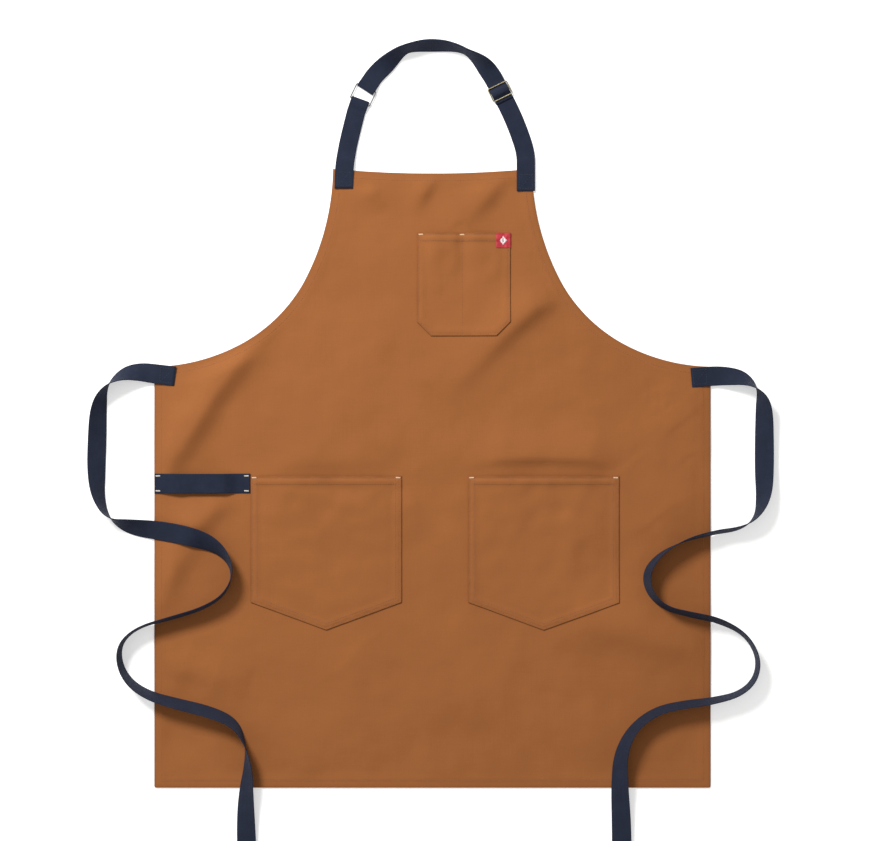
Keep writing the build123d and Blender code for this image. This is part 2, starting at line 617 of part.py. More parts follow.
# ---- waist ties ----
for name, route in (("waist_tie_left", TIE_LEFT_ROUTE), ("waist_tie_right", TIE_RIGHT_ROUTE)):
    line = plan_line(route)
    tie = tape(line, lambda share: along(route, 2, share), lambda share: along(route, 3, share), TAPE_WIDTH)
    save(name, tie)
    radii = ", ".join(f"{r:.0f}" for r in arc_radii(route))
    swept = TAPE_WIDTH * TAPE_THICKNESS * line.length
    print(f"{name}: length {line.length:.0f} mm, lowest {tie.bounding_box().min.Z:.2f} mm, radii {radii} mm")
    print(f"{name}: section times length {swept:.0f} mm3, volume {tie.volume:.0f} mm3")

# ---- stitching that holds the strap ends ----
ends = [
    (neck_left[0], neck_left[1] + 12, 0, PANEL_TOP + 2 * TAPE_THICKNESS),
    (neck_right[0], neck_right[1] + 12, 0, PANEL_TOP + TAPE_THICKNESS),
    (tie_left[0] - 4.7, tie_left[1] + 0.5, -5.7, PANEL_TOP + TAPE_THICKNESS),
    (tie_right[0] + 4.7, tie_right[1] + 0.5, 5.4, PANEL_TOP + TAPE_THICKNESS),
]
with BuildPart() as strap_end_stitching:
    for x, y, turn, height in ends:
        with BuildSketch(Plane.XY.offset(height)):
            with Locations(Location((x, y), turn)):
                Rectangle(*STRAP_END_BOX)
                Rectangle(*(side - 2 * THREAD_WIDTH for side in STRAP_END_BOX), mode=Mode.SUBTRACT)
        extrude(amount=THREAD_HEIGHT)
save("strap_end_stitching", strap_end_stitching.part)
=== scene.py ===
"""The looks of a bib apron lying face up on a pale table: canvas, webbing, thread and wire around the CAD frame."""

import math

import bpy
import numpy as np
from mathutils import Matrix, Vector, geometry


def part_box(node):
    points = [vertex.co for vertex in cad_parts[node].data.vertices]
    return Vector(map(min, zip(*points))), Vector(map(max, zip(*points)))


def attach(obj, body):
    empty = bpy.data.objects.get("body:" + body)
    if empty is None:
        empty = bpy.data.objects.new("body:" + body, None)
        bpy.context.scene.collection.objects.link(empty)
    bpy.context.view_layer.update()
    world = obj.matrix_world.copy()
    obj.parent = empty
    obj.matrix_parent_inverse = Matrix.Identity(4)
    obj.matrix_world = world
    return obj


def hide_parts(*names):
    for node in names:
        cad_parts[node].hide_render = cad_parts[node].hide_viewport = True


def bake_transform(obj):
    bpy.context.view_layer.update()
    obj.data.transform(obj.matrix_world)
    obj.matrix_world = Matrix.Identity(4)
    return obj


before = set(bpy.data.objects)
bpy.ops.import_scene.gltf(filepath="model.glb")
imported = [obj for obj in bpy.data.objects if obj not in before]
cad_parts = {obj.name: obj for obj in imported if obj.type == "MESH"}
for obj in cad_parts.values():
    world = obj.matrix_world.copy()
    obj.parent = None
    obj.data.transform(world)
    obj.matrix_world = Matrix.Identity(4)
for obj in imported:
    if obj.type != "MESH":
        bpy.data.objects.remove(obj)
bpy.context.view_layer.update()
MM = 0.001

# ---- sizes of the cloth and tape, in millimetres, as the CAD model has them ----
CLOTH = 0.7
PANEL_TOP = 2.1
HEM_WIDTH = 12.0
TIE_WIDTH = 25.4
NECK_WIDTH = 24.0
TAPE = 1.2
TABLE = 0.2
SEED = np.random.default_rng(7)


def nodes_span(node):
    """A CAD node's lowest and highest corner in millimetres."""
    low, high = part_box(node)
    return np.array(low) / MM, np.array(high) / MM


# ---- camera: straight above the middle of the picture ----
VIEW_CENTRE = (9.75, -7.5)
CAMERA_HEIGHT = 2.701
camera_data = bpy.data.cameras.new("camera")
camera_data.lens = 85
camera_data.sensor_width = 36
camera = bpy.data.objects.new("camera", camera_data)
camera.location = (VIEW_CENTRE[0] * MM, VIEW_CENTRE[1] * MM, CAMERA_HEIGHT)
bpy.context.scene.collection.objects.link(camera)
bpy.context.scene.camera = camera

# ---- waist ties: x, y, tilt in degrees, height of what the tape's lower edge is on, all as in the CAD route ----
OVER = PANEL_TOP + 0.3
TIE_LEFT_ROUTE = [
    (-334, 50, 0, PANEL_TOP), (-357, 52.6, 0, PANEL_TOP), (-381, 56, 24, PANEL_TOP),
    (-402, 53, 52, TABLE), (-423, 38.5, 90, TABLE), (-433, 10, 138, TABLE), (-435, -33, 154, TABLE),
    (-436, -72, 150, TABLE), (-433, -107, 120, TABLE), (-420, -135, 88, TABLE), (-392, -146, 35, 2.0),
    (-348, -151, 5, OVER), (-305, -159, 14, OVER), (-273, -174, 54, OVER), (-257, -201, 80, OVER),
    (-267, -231, 94, OVER), (-295, -250, 101, OVER), (-338, -263, 103, OVER), (-379, -274, 97, OVER),
    (-402, -292, 95, TABLE), (-407, -315, 97, TABLE), (-397, -342, 101, TABLE),
    (-372, -362, 108, OVER), (-330, -374, 115, OVER), (-288, -384, 117, OVER), (-256, -398, 109, OVER),
    (-242, -424, 88, OVER), (-238, -456, 62, OVER), (-242, -497, 34, OVER), (-242, -544, 10, 0.8),
    (-240, -590, 4, TABLE), (-241, -627, 2, TABLE),
]
TIE_RIGHT_ROUTE = [
    (336, 48, 0, PANEL_TOP), (358, 50, 0, PANEL_TOP), (382, 50.5, -18, PANEL_TOP),
    (405, 47.5, -46, TABLE), (422, 34, -86, TABLE), (430, 11, -140, TABLE), (430.5, -33, -156, TABLE),
    (430.5, -72, -157, TABLE), (429.5, -105, -132, TABLE), (420, -133, -92, TABLE),
    (400, -147.5, -76, TABLE), (363, -152.5, -74, OVER), (327, -162, -80, OVER), (295, -179, -94, OVER),
    (276, -203, -106, OVER), (279, -229, -106, OVER), (300, -250, -105, OVER),
    (335, -258.5, -110, OVER), (371, -266, -110, OVER), (405.5, -284, -99, TABLE),
    (422.5, -314, -95, TABLE), (418.5, -342.5, -94, TABLE), (398, -361.5, -96, 1.6),
    (365, -370, -102, OVER), (329, -374, -105, OVER), (290, -382, -105, OVER), (258, -406, -108, OVER),
    (243, -440, -126, OVER), (242.5, -480, -145, OVER), (245, -523, -162, 0.8),
    (246, -566, -172, TABLE), (245, -612, -175, TABLE), (246, -645, -177, TABLE),
]
NECK_ROUTE = [
    (-75.3, 440.35, 1), (-68.2, 447.6, 6), (-60.2, 454.2, 24), (-51, 461.9, 46), (-42.5, 469, 62),
    (-33.5, 474, 74), (-23, 476.5, 70), (-10, 478, 62), (3, 478.2, 61), (16, 477.5, 66), (26.5, 475.9, 74),
    (35.5, 473.6, 80), (43, 470.3, 83), (50, 466, 76), (57.5, 460.6, 60), (65.5, 453.8, 38),
    (73.2, 445.6, 12), (79.2, 436.8, 3),
]


def polar(centre, radius, degrees):
    """The point at that distance and direction from centre."""
    angle = math.radians(degrees)
    return np.array([centre[0] + radius * math.cos(angle), centre[1] + radius * math.sin(angle)])


# ---- soft folds in the cloth: each a crest line with heights, and how wide its lit and shaded sides are ----
FOLDS = [
    ([(-205, 128, 0), (-232, 100, 5), (-255, 66, 10), (-285, 26, 12), (-310, -14, 12), (-335, -54, 9), (-352, -78, 3)], 26, 12),
    ([(158, 152, 3), (132, 140, 9), (112, 122, 10), (90, 102, 8), (66, 78, 5), (38, 48, 2.4), (12, 18, 0)], 22, 10),
    ([(2, 311, 3), (-10, 292, 5), (-26, 262, 0)], 13, 6),
    ([(88, 309, 3.5), (70, 282, 6), (46, 258, 2)], 17, 8),
    ([(-84, 304, 0), (-78, 288, 3.5), (-66, 262, 0)], 12, 8),
    ([(40, -62, 0), (90, -56, 5), (150, -54, 6.5), (205, -57, 5), (244, -64, 0)], 24, 6),
    ([(-222, -63, 0), (-160, -60, 2.2), (-90, -60, 2.2), (-45, -64, 0)], 16, 7),
    ([(-272, -116, 0), (-306, -150, 5), (-334, -198, 5), (-356, -236, 4)], 22, 12),
    ([(-250, -108, 0), (-282, -121, 4), (-312, -146, 4), (-338, -168, 0)], 16, 9),
    ([(186, -92, 0), (183, -130, 2.0), (178, -200, 1.6), (173, -241, 0)], 12, 9),
    ([(-38, -95, 0), (-28, -118, 3.0), (-12, -165, 0)], 14, 8),
    ([(-190, -150, 0), (-150, -160, 1.6), (-100, -195, 0)], 18, 10),
    ([(150, -290, 0), (200, -276, 7), (262, -280, 10), (320, -296, 8), (356, -312, 4)], 32, 18),
    ([(-356, -312, 3), (-320, -324, 7), (-280, -338, 7), (-236, -352, 0)], 30, 16),
    ([(-130, -285, 0), (-100, -310, 2.2), (-84, -352, 0)], 22, 14),
    ([(252, 0, 0), (292, -34, 3.5), (326, -110, 3)], 34, 24),
    ([(300, 60, 1), (330, 20, 3), (352, -40, 3)], 22, 14),
    ([(-150, 60, 0), (-90, 40, 2.2), (-40, 60, 0)], 44, 30),
    ([(-60, -330, 0), (40, -345, 3), (160, -350, 0)], 50, 34),
    ([(-200, -400, 0), (-150, -440, 2), (-90, -452, 0)], 30, 18),
]
WAVES = [(*SEED.uniform(-1, 1, 2), SEED.uniform(0, 6.28)) for _ in range(24)]


def ripple(x, y, length):
    """A smooth random surface, about -1 to 1, whose features are that many millimetres long."""
    total = 0
    for kx, ky, phase in WAVES:
        total = total + np.sin((kx * x + ky * y) * 7.0 / length + phase)
    return total / 4.9


def near_path(x, y, path):
    """Distance to a path, the height along it and the side that each point is on."""
    best = np.full(x.shape, 1e9)
    height, side = np.zeros(x.shape), np.zeros(x.shape)
    for (x0, y0, h0), (x1, y1, h1) in zip(path, path[1:]):
        dx, dy = x1 - x0, y1 - y0
        t = np.clip(((x - x0) * dx + (y - y0) * dy) / (dx * dx + dy * dy), 0, 1)
        ox, oy = x - x0 - t * dx, y - y0 - t * dy
        d = np.hypot(ox, oy)
        closer = d < best
        best = np.where(closer, d, best)
        height = np.where(closer, h0 + (h1 - h0) * t, height)
        side = np.where(closer, ox * 0.6 - oy * 0.8, side)
    return best, height, side


def smooth(t):
    """A smooth step from 0 to 1."""
    t = np.clip(t, 0, 1)
    return t * t * (3 - 2 * t)


# ---- the panel's outline, from the same arcs as the CAD model's ----
panel_low, panel_high = nodes_span("apron_panel")
HALF_WIDTH, BOTTOM, BIB_TOP = panel_high[0], panel_low[1], panel_high[1]
SIDE_TOP = 62.5
BIB_HALF = 129.3
BIB_DIP = 6.0
ARMHOLE = [(303, 70.5), (248.3, 92), (203.5, 125), (168.4, 170), (143.5, 229)]


def arc(a, b, c, step):
    """Points along the circle through a, b and c, without the first."""
    (ax, ay), (bx, by), (cx, cy) = a, b, c
    d = 2 * (ax * (by - cy) + bx * (cy - ay) + cx * (ay - by))
    ux = ((ax**2 + ay**2) * (by - cy) + (bx**2 + by**2) * (cy - ay) + (cx**2 + cy**2) * (ay - by)) / d
    uy = ((ax**2 + ay**2) * (cx - bx) + (bx**2 + by**2) * (ax - cx) + (cx**2 + cy**2) * (bx - ax)) / d
    radius = math.hypot(ax - ux, ay - uy)
    start, mid, end = (math.atan2(q[1] - uy, q[0] - ux) for q in (a, b, c))
    turn = (end - start + math.pi) % (2 * math.pi) - math.pi
    count = max(2, round(abs(turn) * radius / step))
    return [(ux + radius * math.cos(start + turn * i / count), uy + radius * math.sin(start + turn * i / count))
            for i in range(1, count + 1)]


def straight(a, b, step):
    """Points along a straight line, without the first."""
    count = max(1, round(math.dist(a, b) / step))
    return [(a[0] + (b[0] - a[0]) * i / count, a[1] + (b[1] - a[1]) * i / count) for i in range(1, count + 1)]


def panel_outline(step=4.0):
    """The panel's edge, anticlockwise, with its two bottom corners very slightly rounded."""
    corner = 2.5
    half = [(0.0, BOTTOM)]
    half += straight(half[-1], (HALF_WIDTH - corner, BOTTOM), step)
    turn = (HALF_WIDTH - corner * 0.29, BOTTOM + corner * 0.29)
    half += arc(half[-1], turn, (HALF_WIDTH, BOTTOM + corner), 0.8)
    half += straight(half[-1], (HALF_WIDTH, SIDE_TOP), step)
    half += arc(half[-1], ARMHOLE[0], ARMHOLE[1], step)
    half += arc(half[-1], ARMHOLE[2], ARMHOLE[3], step)
    half += arc(half[-1], ARMHOLE[4], (BIB_HALF, BIB_TOP), step)
    half += arc(half[-1], (BIB_HALF / 2, BIB_TOP - BIB_DIP * 0.75), (0, BIB_TOP - BIB_DIP), step)
    return half + [(-x, y) for x, y in half[-2:0:-1]]


def polygon(corners, step=3.0):
    """A polygon's edge with points every step or so."""
    ring = []
    for a, b in zip(corners, corners[1:] + corners[:1]):
        ring += straight(a, b, step)
    return ring


def edge_distance(x, y, ring):
    """How far each point is from a closed ring of points."""
    a = np.array(ring)
    b = np.roll(a, -1, axis=0)
    d = b - a
    size = (d**2).sum(1)
    best = np.full(x.shape, 1e9)
    for start in range(0, len(x), 2000):
        px, py = x[start:start + 2000, None], y[start:start + 2000, None]
        t = np.clip(((px - a[:, 0]) * d[:, 0] + (py - a[:, 1]) * d[:, 1]) / size, 0, 1)
        away = np.hypot(px - a[:, 0] - t * d[:, 0], py - a[:, 1] - t * d[:, 1])
        best[start:start + 2000] = away.min(axis=1)
    return best


def inset_ring(ring, distance):
    """The ring moved inwards. Points that would cross over near a corner are left out."""
    a = np.array(ring)
    ahead = np.roll(a, -1, axis=0) - a
    behind = a - np.roll(a, 1, axis=0)
    ahead /= np.linalg.norm(ahead, axis=1)[:, None]
    behind /= np.linalg.norm(behind, axis=1)[:, None]
    tangent = ahead + behind
    tangent /= np.linalg.norm(tangent, axis=1)[:, None]
    inward = np.stack([-tangent[:, 1], tangent[:, 0]], axis=1)
    stretch = 1 / np.maximum((ahead * tangent).sum(1), 0.5)
    moved = a + inward * (distance * stretch)[:, None]
    keep = edge_distance(moved[:, 0], moved[:, 1], ring) > distance - 0.05
    return moved[keep]


PANEL_RING = panel_outline()


def panel_surface(x, y):
    """The height of the panel's upper face, in millimetres: a thicker hem, then soft folds and ripples."""
    x, y = np.atleast_1d(np.asarray(x, float)), np.atleast_1d(np.asarray(y, float))
    d = edge_distance(x, y, PANEL_RING)
    height = PANEL_TOP - 0.75 * smooth((d - HEM_WIDTH + 1) / 9)
    folds = 0
    for path, lit, shaded in FOLDS:
        away, crest, side = near_path(x, y, path)
        spread = np.where(side > 0, shaded, lit)
        folds = folds + crest * np.exp(-0.5 * (away / spread) ** 2)
    calm = smooth(d / 26)
    height = height + folds * (0.25 + 0.75 * calm)
    height = height + calm * (0.8 * (1 + ripple(x, y, 95)) + 0.3 * ripple(y, x, 42) + 0.08 * ripple(x, y, 20))
    pucker = np.exp(-(((d - 9.5) / 3.5) ** 2))
    return height + 0.10 * pucker * ripple(x + 40, y, 6)


# ---- meshes ----
def add_mesh(name, points, faces, material, uvs=None):
    """A smooth-shaded object from points in millimetres."""
    mesh = bpy.data.meshes.new(name)
    mesh.from_pydata((np.asarray(points, float) * MM).tolist(), [], faces)
    mesh.validate()
    mesh.update()
    mesh.polygons.foreach_set("use_smooth", [True] * len(mesh.polygons))
    if uvs is not None:
        layer = mesh.uv_layers.new(name="UVMap")
        index = np.zeros(len(mesh.loops), np.int32)
        mesh.loops.foreach_get("vertex_index", index)
        layer.data.foreach_set("uv", (np.asarray(uvs, float)[index] * MM).astype(np.float32).ravel())
    mesh.materials.append(material)
    made = bpy.data.objects.new(name, mesh)
    bpy.context.scene.collection.objects.link(made)
    return made


def sheet_points(ring, rings, spacing):
    """The ring, then inner rings, then a grid: every point of a flat sheet, and its triangles."""
    points = [np.array(ring)]
    points += [inset_ring(ring, distance) for distance in rings]
    low, high = points[0].min(axis=0), points[0].max(axis=0)
    gx, gy = np.meshgrid(np.arange(low[0], high[0], spacing), np.arange(low[1], high[1], spacing))
    gx = gx + (np.arange(gx.shape[0])[:, None] % 2) * spacing / 2
    grid = np.stack([gx.ravel(), gy.ravel()], axis=1)
    grid = grid[edge_distance(grid[:, 0], grid[:, 1], ring) > rings[-1] + spacing * 0.4]
    everything = np.concatenate(points + [grid])
    coords = [Vector(p) for p in everything]
    found = geometry.delaunay_2d_cdt(coords, [], [list(range(len(ring)))], 1, 1e-5)
    return np.array([tuple(v) for v in found[0]]), [tuple(f) for f in found[2]]


def cloth_sheet(name, ring, rings, spacing, top, bottom, material):
    """A closed sheet of cloth between two height functions of (x, y, distance from the edge)."""
    flat, faces = sheet_points(ring, rings, spacing)
    x, y = flat[:, 0], flat[:, 1]
    d = edge_distance(x, y, ring)
    high, low = top(x, y, d), bottom(x, y, d)
    count = len(flat)
    points = np.concatenate([np.column_stack([x, y, high]), np.column_stack([x, y, low])])
    shell = list(faces) + [tuple(i + count for i in reversed(f)) for f in faces]
    edges = {}
    for f in faces:
        for a, b in zip(f, f[1:] + f[:1]):
            edges[(a, b)] = True
    border = [(a, b) for a, b in edges if (b, a) not in edges]
    shell += [(a + count, b + count, b, a) for a, b in border]
    made = add_mesh(name, points, shell, material)
    # painted shade: a weight per point, 1 at the edge and fading within about a millimetre, by which the canvas
    # material darkens the cloth's edges
    painted_edge_shade = made.data.attributes.new("painted_edge_shade", "FLOAT", "POINT")
    painted_edge_shade.data.foreach_set("value", np.tile(np.exp(-d / 1.0), 2).astype(np.float32))
    return made


def read_line(points, resolution=10):
    """A smooth NURBS line with those control points, read back as points."""
    curve = bpy.data.curves.new("route", "CURVE")
    curve.dimensions = "3D"
    curve.resolution_u = resolution
    spline = curve.splines.new("NURBS")
    spline.points.add(len(points) - 1)
    for target, point in zip(spline.points, points):
        target.co = (*point, 1)
    spline.order_u = 3
    spline.use_endpoint_u = True
    holder = bpy.data.objects.new("route", curve)
    mesh = bpy.data.meshes.new_from_object(holder)
    line = np.array([v.co for v in mesh.vertices], float)
    bpy.data.meshes.remove(mesh)
    bpy.data.objects.remove(holder)
    bpy.data.curves.remove(curve)
    return line


def tangents(line):
    """Unit directions along a line of points."""
    ahead = np.gradient(line, axis=0)
    return ahead / np.linalg.norm(ahead, axis=1)[:, None]


def evened(values, rounds):
    """Values evened out along a line, with its ends kept."""
    values = np.array(values, float)
    for _ in range(rounds):
        values[1:-1] = (values[:-2] + 2 * values[1:-1] + values[2:]) / 4
    return values


SECTION = [(-1, 0), (-0.985, 0.75), (-0.93, 1.06), (-0.84, 0.96), (-0.6, 1), (-0.3, 0.97), (0, 1.0),
           (0.3, 0.97), (0.6, 1), (0.84, 0.96), (0.93, 1.06), (0.985, 0.75), (1, 0)]


def ribbon(name, line, across, width, material, thickness=TAPE, start_length=0.0):
    """Webbing along a line: a flat section with a bead at each selvedge and closed ends."""
    side = across / np.linalg.norm(across, axis=1)[:, None]
    normal = np.cross(tangents(line), side)
    normal /= np.linalg.norm(normal, axis=1)[:, None]
    section = SECTION + [(v, -h) for v, h in SECTION[-2:0:-1]]
    run = np.concatenate([[0], np.cumsum(np.linalg.norm(np.diff(line, axis=0), axis=1))]) + start_length
    points, uvs, faces = [], [], []
    for i, here in enumerate(line):
        for v, h in section:
            points.append(here + side[i] * v * width / 2 + normal[i] * h * thickness / 2)
            uvs.append((run[i], v * width / 2))
    size = len(section)
    for i in range(len(line) - 1):
        for j in range(size):
            k = (j + 1) % size
            faces.append((i * size + j, i * size + k, (i + 1) * size + k, (i + 1) * size + j))
    faces.append(tuple(range(size))[::-1])
    faces.append(tuple((len(line) - 1) * size + j for j in range(size)))
    return add_mesh(name, points, faces, material, uvs)


STITCH_RINGS = [(-1.0, 0.15, -0.35), (-0.7, 0.8, -0.02), (-0.2, 1.0, 0.16), (0.2, 1.0, 0.16), (0.7, 0.8, -0.02),
                (1.0, 0.15, -0.35)]


def threads(name, middles, directions, material, length=2.7, radius=0.3, normals=None):
    """Short raised stitches, one capsule of thread for each middle and direction."""
    points, faces, sides = [], [], 6
    for i, (middle, ahead) in enumerate(zip(middles, directions)):
        up = np.array([0.0, 0.0, 1.0]) if normals is None else normals[i]
        ahead = ahead / np.linalg.norm(ahead)
        across = np.cross(up, ahead)
        across /= np.linalg.norm(across)
        up = np.cross(ahead, across)
        base = len(points)
        for along, size, lift in STITCH_RINGS:
            centre = middle + ahead * along * length / 2 + up * lift
            for j in range(sides):
                angle = 2 * math.pi * j / sides
                points.append(centre + (across * math.cos(angle) + up * math.sin(angle)) * size * radius)
        for r in range(len(STITCH_RINGS) - 1):
            for j in range(sides):
                k = (j + 1) % sides
                faces.append((base + r * sides + j, base + r * sides + k,
                              base + (r + 1) * sides + k, base + (r + 1) * sides + j))
        faces.append(tuple(base + j for j in range(sides))[::-1])
        faces.append(tuple(base + (len(STITCH_RINGS) - 1) * sides + j for j in range(sides)))
    return add_mesh(name, points, faces, material)


def stitch_places(path, surface, pitch=3.3, closed=False, skip=None):
    """Middles and directions of the stitches along a path of (x, y), lying on a surface."""
    path = np.array(path, float)
    if closed:
        path = np.concatenate([path, path[:1]])
    run = np.concatenate([[0], np.cumsum(np.linalg.norm(np.diff(path, axis=0), axis=1))])
    count = max(1, int(run[-1] / pitch))
    at = (np.arange(count) + 0.5) * run[-1] / count
    x, y = np.interp(at, run, path[:, 0]), np.interp(at, run, path[:, 1])
    x0, y0 = np.interp(at - 1.3, run, path[:, 0]), np.interp(at - 1.3, run, path[:, 1])
    x1, y1 = np.interp(at + 1.3, run, path[:, 0]), np.interp(at + 1.3, run, path[:, 1])
    if skip is not None:
        keep = ~skip(x, y)
        x, y, x0, y0, x1, y1 = (v[keep] for v in (x, y, x0, y0, x1, y1))
    z, z0, z1 = surface(x, y), surface(x0, y0), surface(x1, y1)
    middles = np.column_stack([x, y, (z0 + z1) / 4 + z / 2])
    return middles, np.column_stack([x1 - x0, y1 - y0, z1 - z0])


# ---- materials ----
def new_material(name):
    """A node material and its shader."""
    made = bpy.data.materials.new(name)
    made.use_nodes = True
    return made, made.node_tree, made.node_tree.nodes["Principled BSDF"]


def node(tree, kind, **values):
    """A node with some of its inputs set."""
    made = tree.nodes.new(kind)
    for key, value in values.items():
        made.inputs[key.replace("_", " ")].default_value = value
    return made


def stretched_noise(tree, source, scale, detail=3.0, rough=0.55):
    """Noise over coordinates that are scaled differently along each axis."""
    place = tree.nodes.new("ShaderNodeMapping")
    place.inputs["Scale"].default_value = scale
    tree.links.new(source, place.inputs["Vector"])
    made = node(tree, "ShaderNodeTexNoise", Scale=1.0, Detail=detail, Roughness=rough)
    tree.links.new(place.outputs["Vector"], made.inputs["Vector"])
    return made.outputs["Fac"]


def bands(tree, source, axis, pitch_mm):
    """Even bands across one axis, one for every pitch."""
    wave = node(tree, "ShaderNodeTexWave", Scale=math.pi / 10 / (pitch_mm * MM))
    wave.wave_type = "BANDS"
    wave.bands_direction = axis
    tree.links.new(source, wave.inputs["Vector"])
    return wave.outputs["Fac"]


def math_node(tree, operation, a, b):
    """A Math node of two inputs, each a socket or a number."""
    made = tree.nodes.new("ShaderNodeMath")
    made.operation = operation
    for socket, value in zip(made.inputs, (a, b)):
        if isinstance(value, (int, float)):
            socket.default_value = value
        else:
            tree.links.new(value, socket)
    return made.outputs[0]


def ramp(tree, source, stops):
    """A colour ramp through (place, colour) stops."""
    made = tree.nodes.new("ShaderNodeValToRGB")
    elements = made.color_ramp.elements
    for _ in range(len(stops) - 2):
        elements.new(0.5)
    for element, (place, colour) in zip(elements, stops):
        element.position = place
        element.color = (*colour, 1)
    tree.links.new(source, made.inputs["Fac"])
    return made.outputs["Color"]


def mix(tree, kind, factor, a, b):
    """Two colours mixed."""
    made = tree.nodes.new("ShaderNodeMix")
    made.data_type = "RGBA"
    made.blend_type = kind
    for key, value in (("Factor", factor), ("A", a), ("B", b)):
        socket = next(s for s in made.inputs if s.name == key and s.enabled)
        if isinstance(value, (int, float)):
            socket.default_value = value
        elif isinstance(value, tuple):
            socket.default_value = (*value, 1)
        else:
            tree.links.new(value, socket)
    return next(s for s in made.outputs if s.name == "Result" and s.enabled)


def bump(tree, shader, height, distance, strength=1.0, under=None):
    """A bump of that height in millimetres."""
    made = node(tree, "ShaderNodeBump", Strength=strength, Distance=distance * MM)
    tree.links.new(height, made.inputs["Height"])
    if under is not None:
        tree.links.new(under, made.inputs["Normal"])
    tree.links.new(made.outputs["Normal"], shader.inputs["Normal"])
    return made.outputs["Normal"]


def canvas_material(name, dark, light):
    """Rust-brown duck canvas: plain weave, slubs, soft mottling and painted shade that darkens every edge."""
    made, tree, shader = new_material(name)
    where = tree.nodes.new("ShaderNodeTexCoord").outputs["Object"]
    mottle = stretched_noise(tree, where, (9, 7, 9), 4, 0.6)
    colour = ramp(tree, mottle, [(0.32, dark), (0.68, light)])
    warp = stretched_noise(tree, where, (1300, 22, 1300), 2, 0.5)
    weft = stretched_noise(tree, where, (22, 1300, 1300), 2, 0.5)
    slubs = math_node(tree, "MULTIPLY", warp, weft)
    shade = ramp(tree, slubs, [(0.10, (0.90, 0.90, 0.90)), (0.40, (1.10, 1.10, 1.10))])
    colour = mix(tree, "MULTIPLY", 0.30, colour, shade)
    grain = math_node(tree, "MULTIPLY", bands(tree, where, "X", 0.62), bands(tree, where, "Y", 0.7))
    colour = mix(tree, "MULTIPLY", 0.35, colour, ramp(tree, grain, [(0.0, (0.80, 0.78, 0.76)), (0.7, (1.06, 1.06, 1.06))]))
    # painted shade: within about a millimetre of each edge the colour is mixed, unevenly, towards a much darker brown
    painted_edge_shade = node(tree, "ShaderNodeAttribute")
    painted_edge_shade.attribute_name = "painted_edge_shade"
    edge_shade_amount = math_node(tree, "MULTIPLY", painted_edge_shade.outputs["Fac"], stretched_noise(tree, where, (90, 90, 90), 3))
    colour = mix(tree, "MIX", math_node(tree, "MULTIPLY", edge_shade_amount, 1.0), colour, tuple(c * 0.45 for c in dark))
    tree.links.new(colour, shader.inputs["Base Color"])
    fuzz = bump(tree, shader, slubs, 0.25, 0.5)
    bump(tree, shader, grain, 0.12, 0.5, fuzz)
    rough = ramp(tree, mottle, [(0.3, (0.78, 0.78, 0.78)), (0.7, (0.92, 0.92, 0.92))])
    tree.links.new(rough, shader.inputs["Roughness"])
    shader.inputs["Specular IOR Level"].default_value = 0.15
    shader.inputs["Sheen Weight"].default_value = 0.05
    shader.inputs["Sheen Roughness"].default_value = 0.45
    shader.inputs["Sheen Tint"].default_value = (1.0, 0.82, 0.62, 1)
    return made


def webbing_material(name, dark, light):
    """Navy cotton webbing: cross ribs in a fine chevron, with lengthwise threads and fuzz."""
    made, tree, shader = new_material(name)
    uv = tree.nodes.new("ShaderNodeTexCoord").outputs["UV"]
    where = tree.nodes.new("ShaderNodeTexCoord").outputs["Object"]
    split = tree.nodes.new("ShaderNodeSeparateXYZ")
    tree.links.new(uv, split.inputs[0])
    zigzag = math_node(tree, "PINGPONG", split.outputs["Y"], 3.2 * MM)
    skewed = tree.nodes.new("ShaderNodeCombineXYZ")
    tree.links.new(math_node(tree, "ADD", split.outputs["X"], zigzag), skewed.inputs["X"])
    tree.links.new(split.outputs["Y"], skewed.inputs["Y"])
    ribs = bands(tree, skewed.outputs[0], "X", 1.5)
    cords = bands(tree, uv, "Y", 0.8)
    weave = math_node(tree, "MULTIPLY", ribs, math_node(tree, "ADD", math_node(tree, "MULTIPLY", cords, 0.5), 0.5))
    cloudy = stretched_noise(tree, where, (70, 70, 70), 4, 0.6)
    colour = ramp(tree, cloudy, [(0.3, dark), (0.7, light)])
    colour = mix(tree, "MULTIPLY", 0.8, colour, ramp(tree, weave, [(0.0, (0.62, 0.62, 0.64)), (0.8, (1.18, 1.18, 1.2))]))
    fuzz = stretched_noise(tree, where, (2600, 2600, 2600), 2, 0.7)
    colour = mix(tree, "MIX", ramp(tree, fuzz, [(0.62, (0, 0, 0)), (0.8, (0.22, 0.22, 0.22))]), colour,
                 tuple(c * 2.2 + 0.01 for c in light))
    tree.links.new(colour, shader.inputs["Base Color"])
    under = bump(tree, shader, fuzz, 0.12, 0.6)
    bump(tree, shader, weave, 0.22, 0.9, under)
    shader.inputs["Roughness"].default_value = 0.82
    shader.inputs["Specular IOR Level"].default_value = 0.15
    shader.inputs["Sheen Weight"].default_value = 0.05
    shader.inputs["Sheen Roughness"].default_value = 0.4
    shader.inputs["Sheen Tint"].default_value = (0.75, 0.8, 1.0, 1)
    return made


def thread_material(name, dark, light):
    """Twisted sewing thread."""
    made, tree, shader = new_material(name)
    where = tree.nodes.new("ShaderNodeTexCoord").outputs["Object"]
    cloudy = stretched_noise(tree, where, (240, 240, 240), 3)
    twist = stretched_noise(tree, where, (3800, 3800, 3800), 2, 0.6)
    colour = ramp(tree, cloudy, [(0.3, dark), (0.7, light)])
    tree.links.new(mix(tree, "MULTIPLY", 0.6, colour, ramp(tree, twist, [(0.3, (0.7, 0.7, 0.7)), (0.7, (1.15, 1.15, 1.15))])),
                   shader.inputs["Base Color"])
    bump(tree, shader, twist, 0.1, 0.6)
    shader.inputs["Roughness"].default_value = 0.6
    shader.inputs["Sheen Weight"].default_value = 0.15
    return made


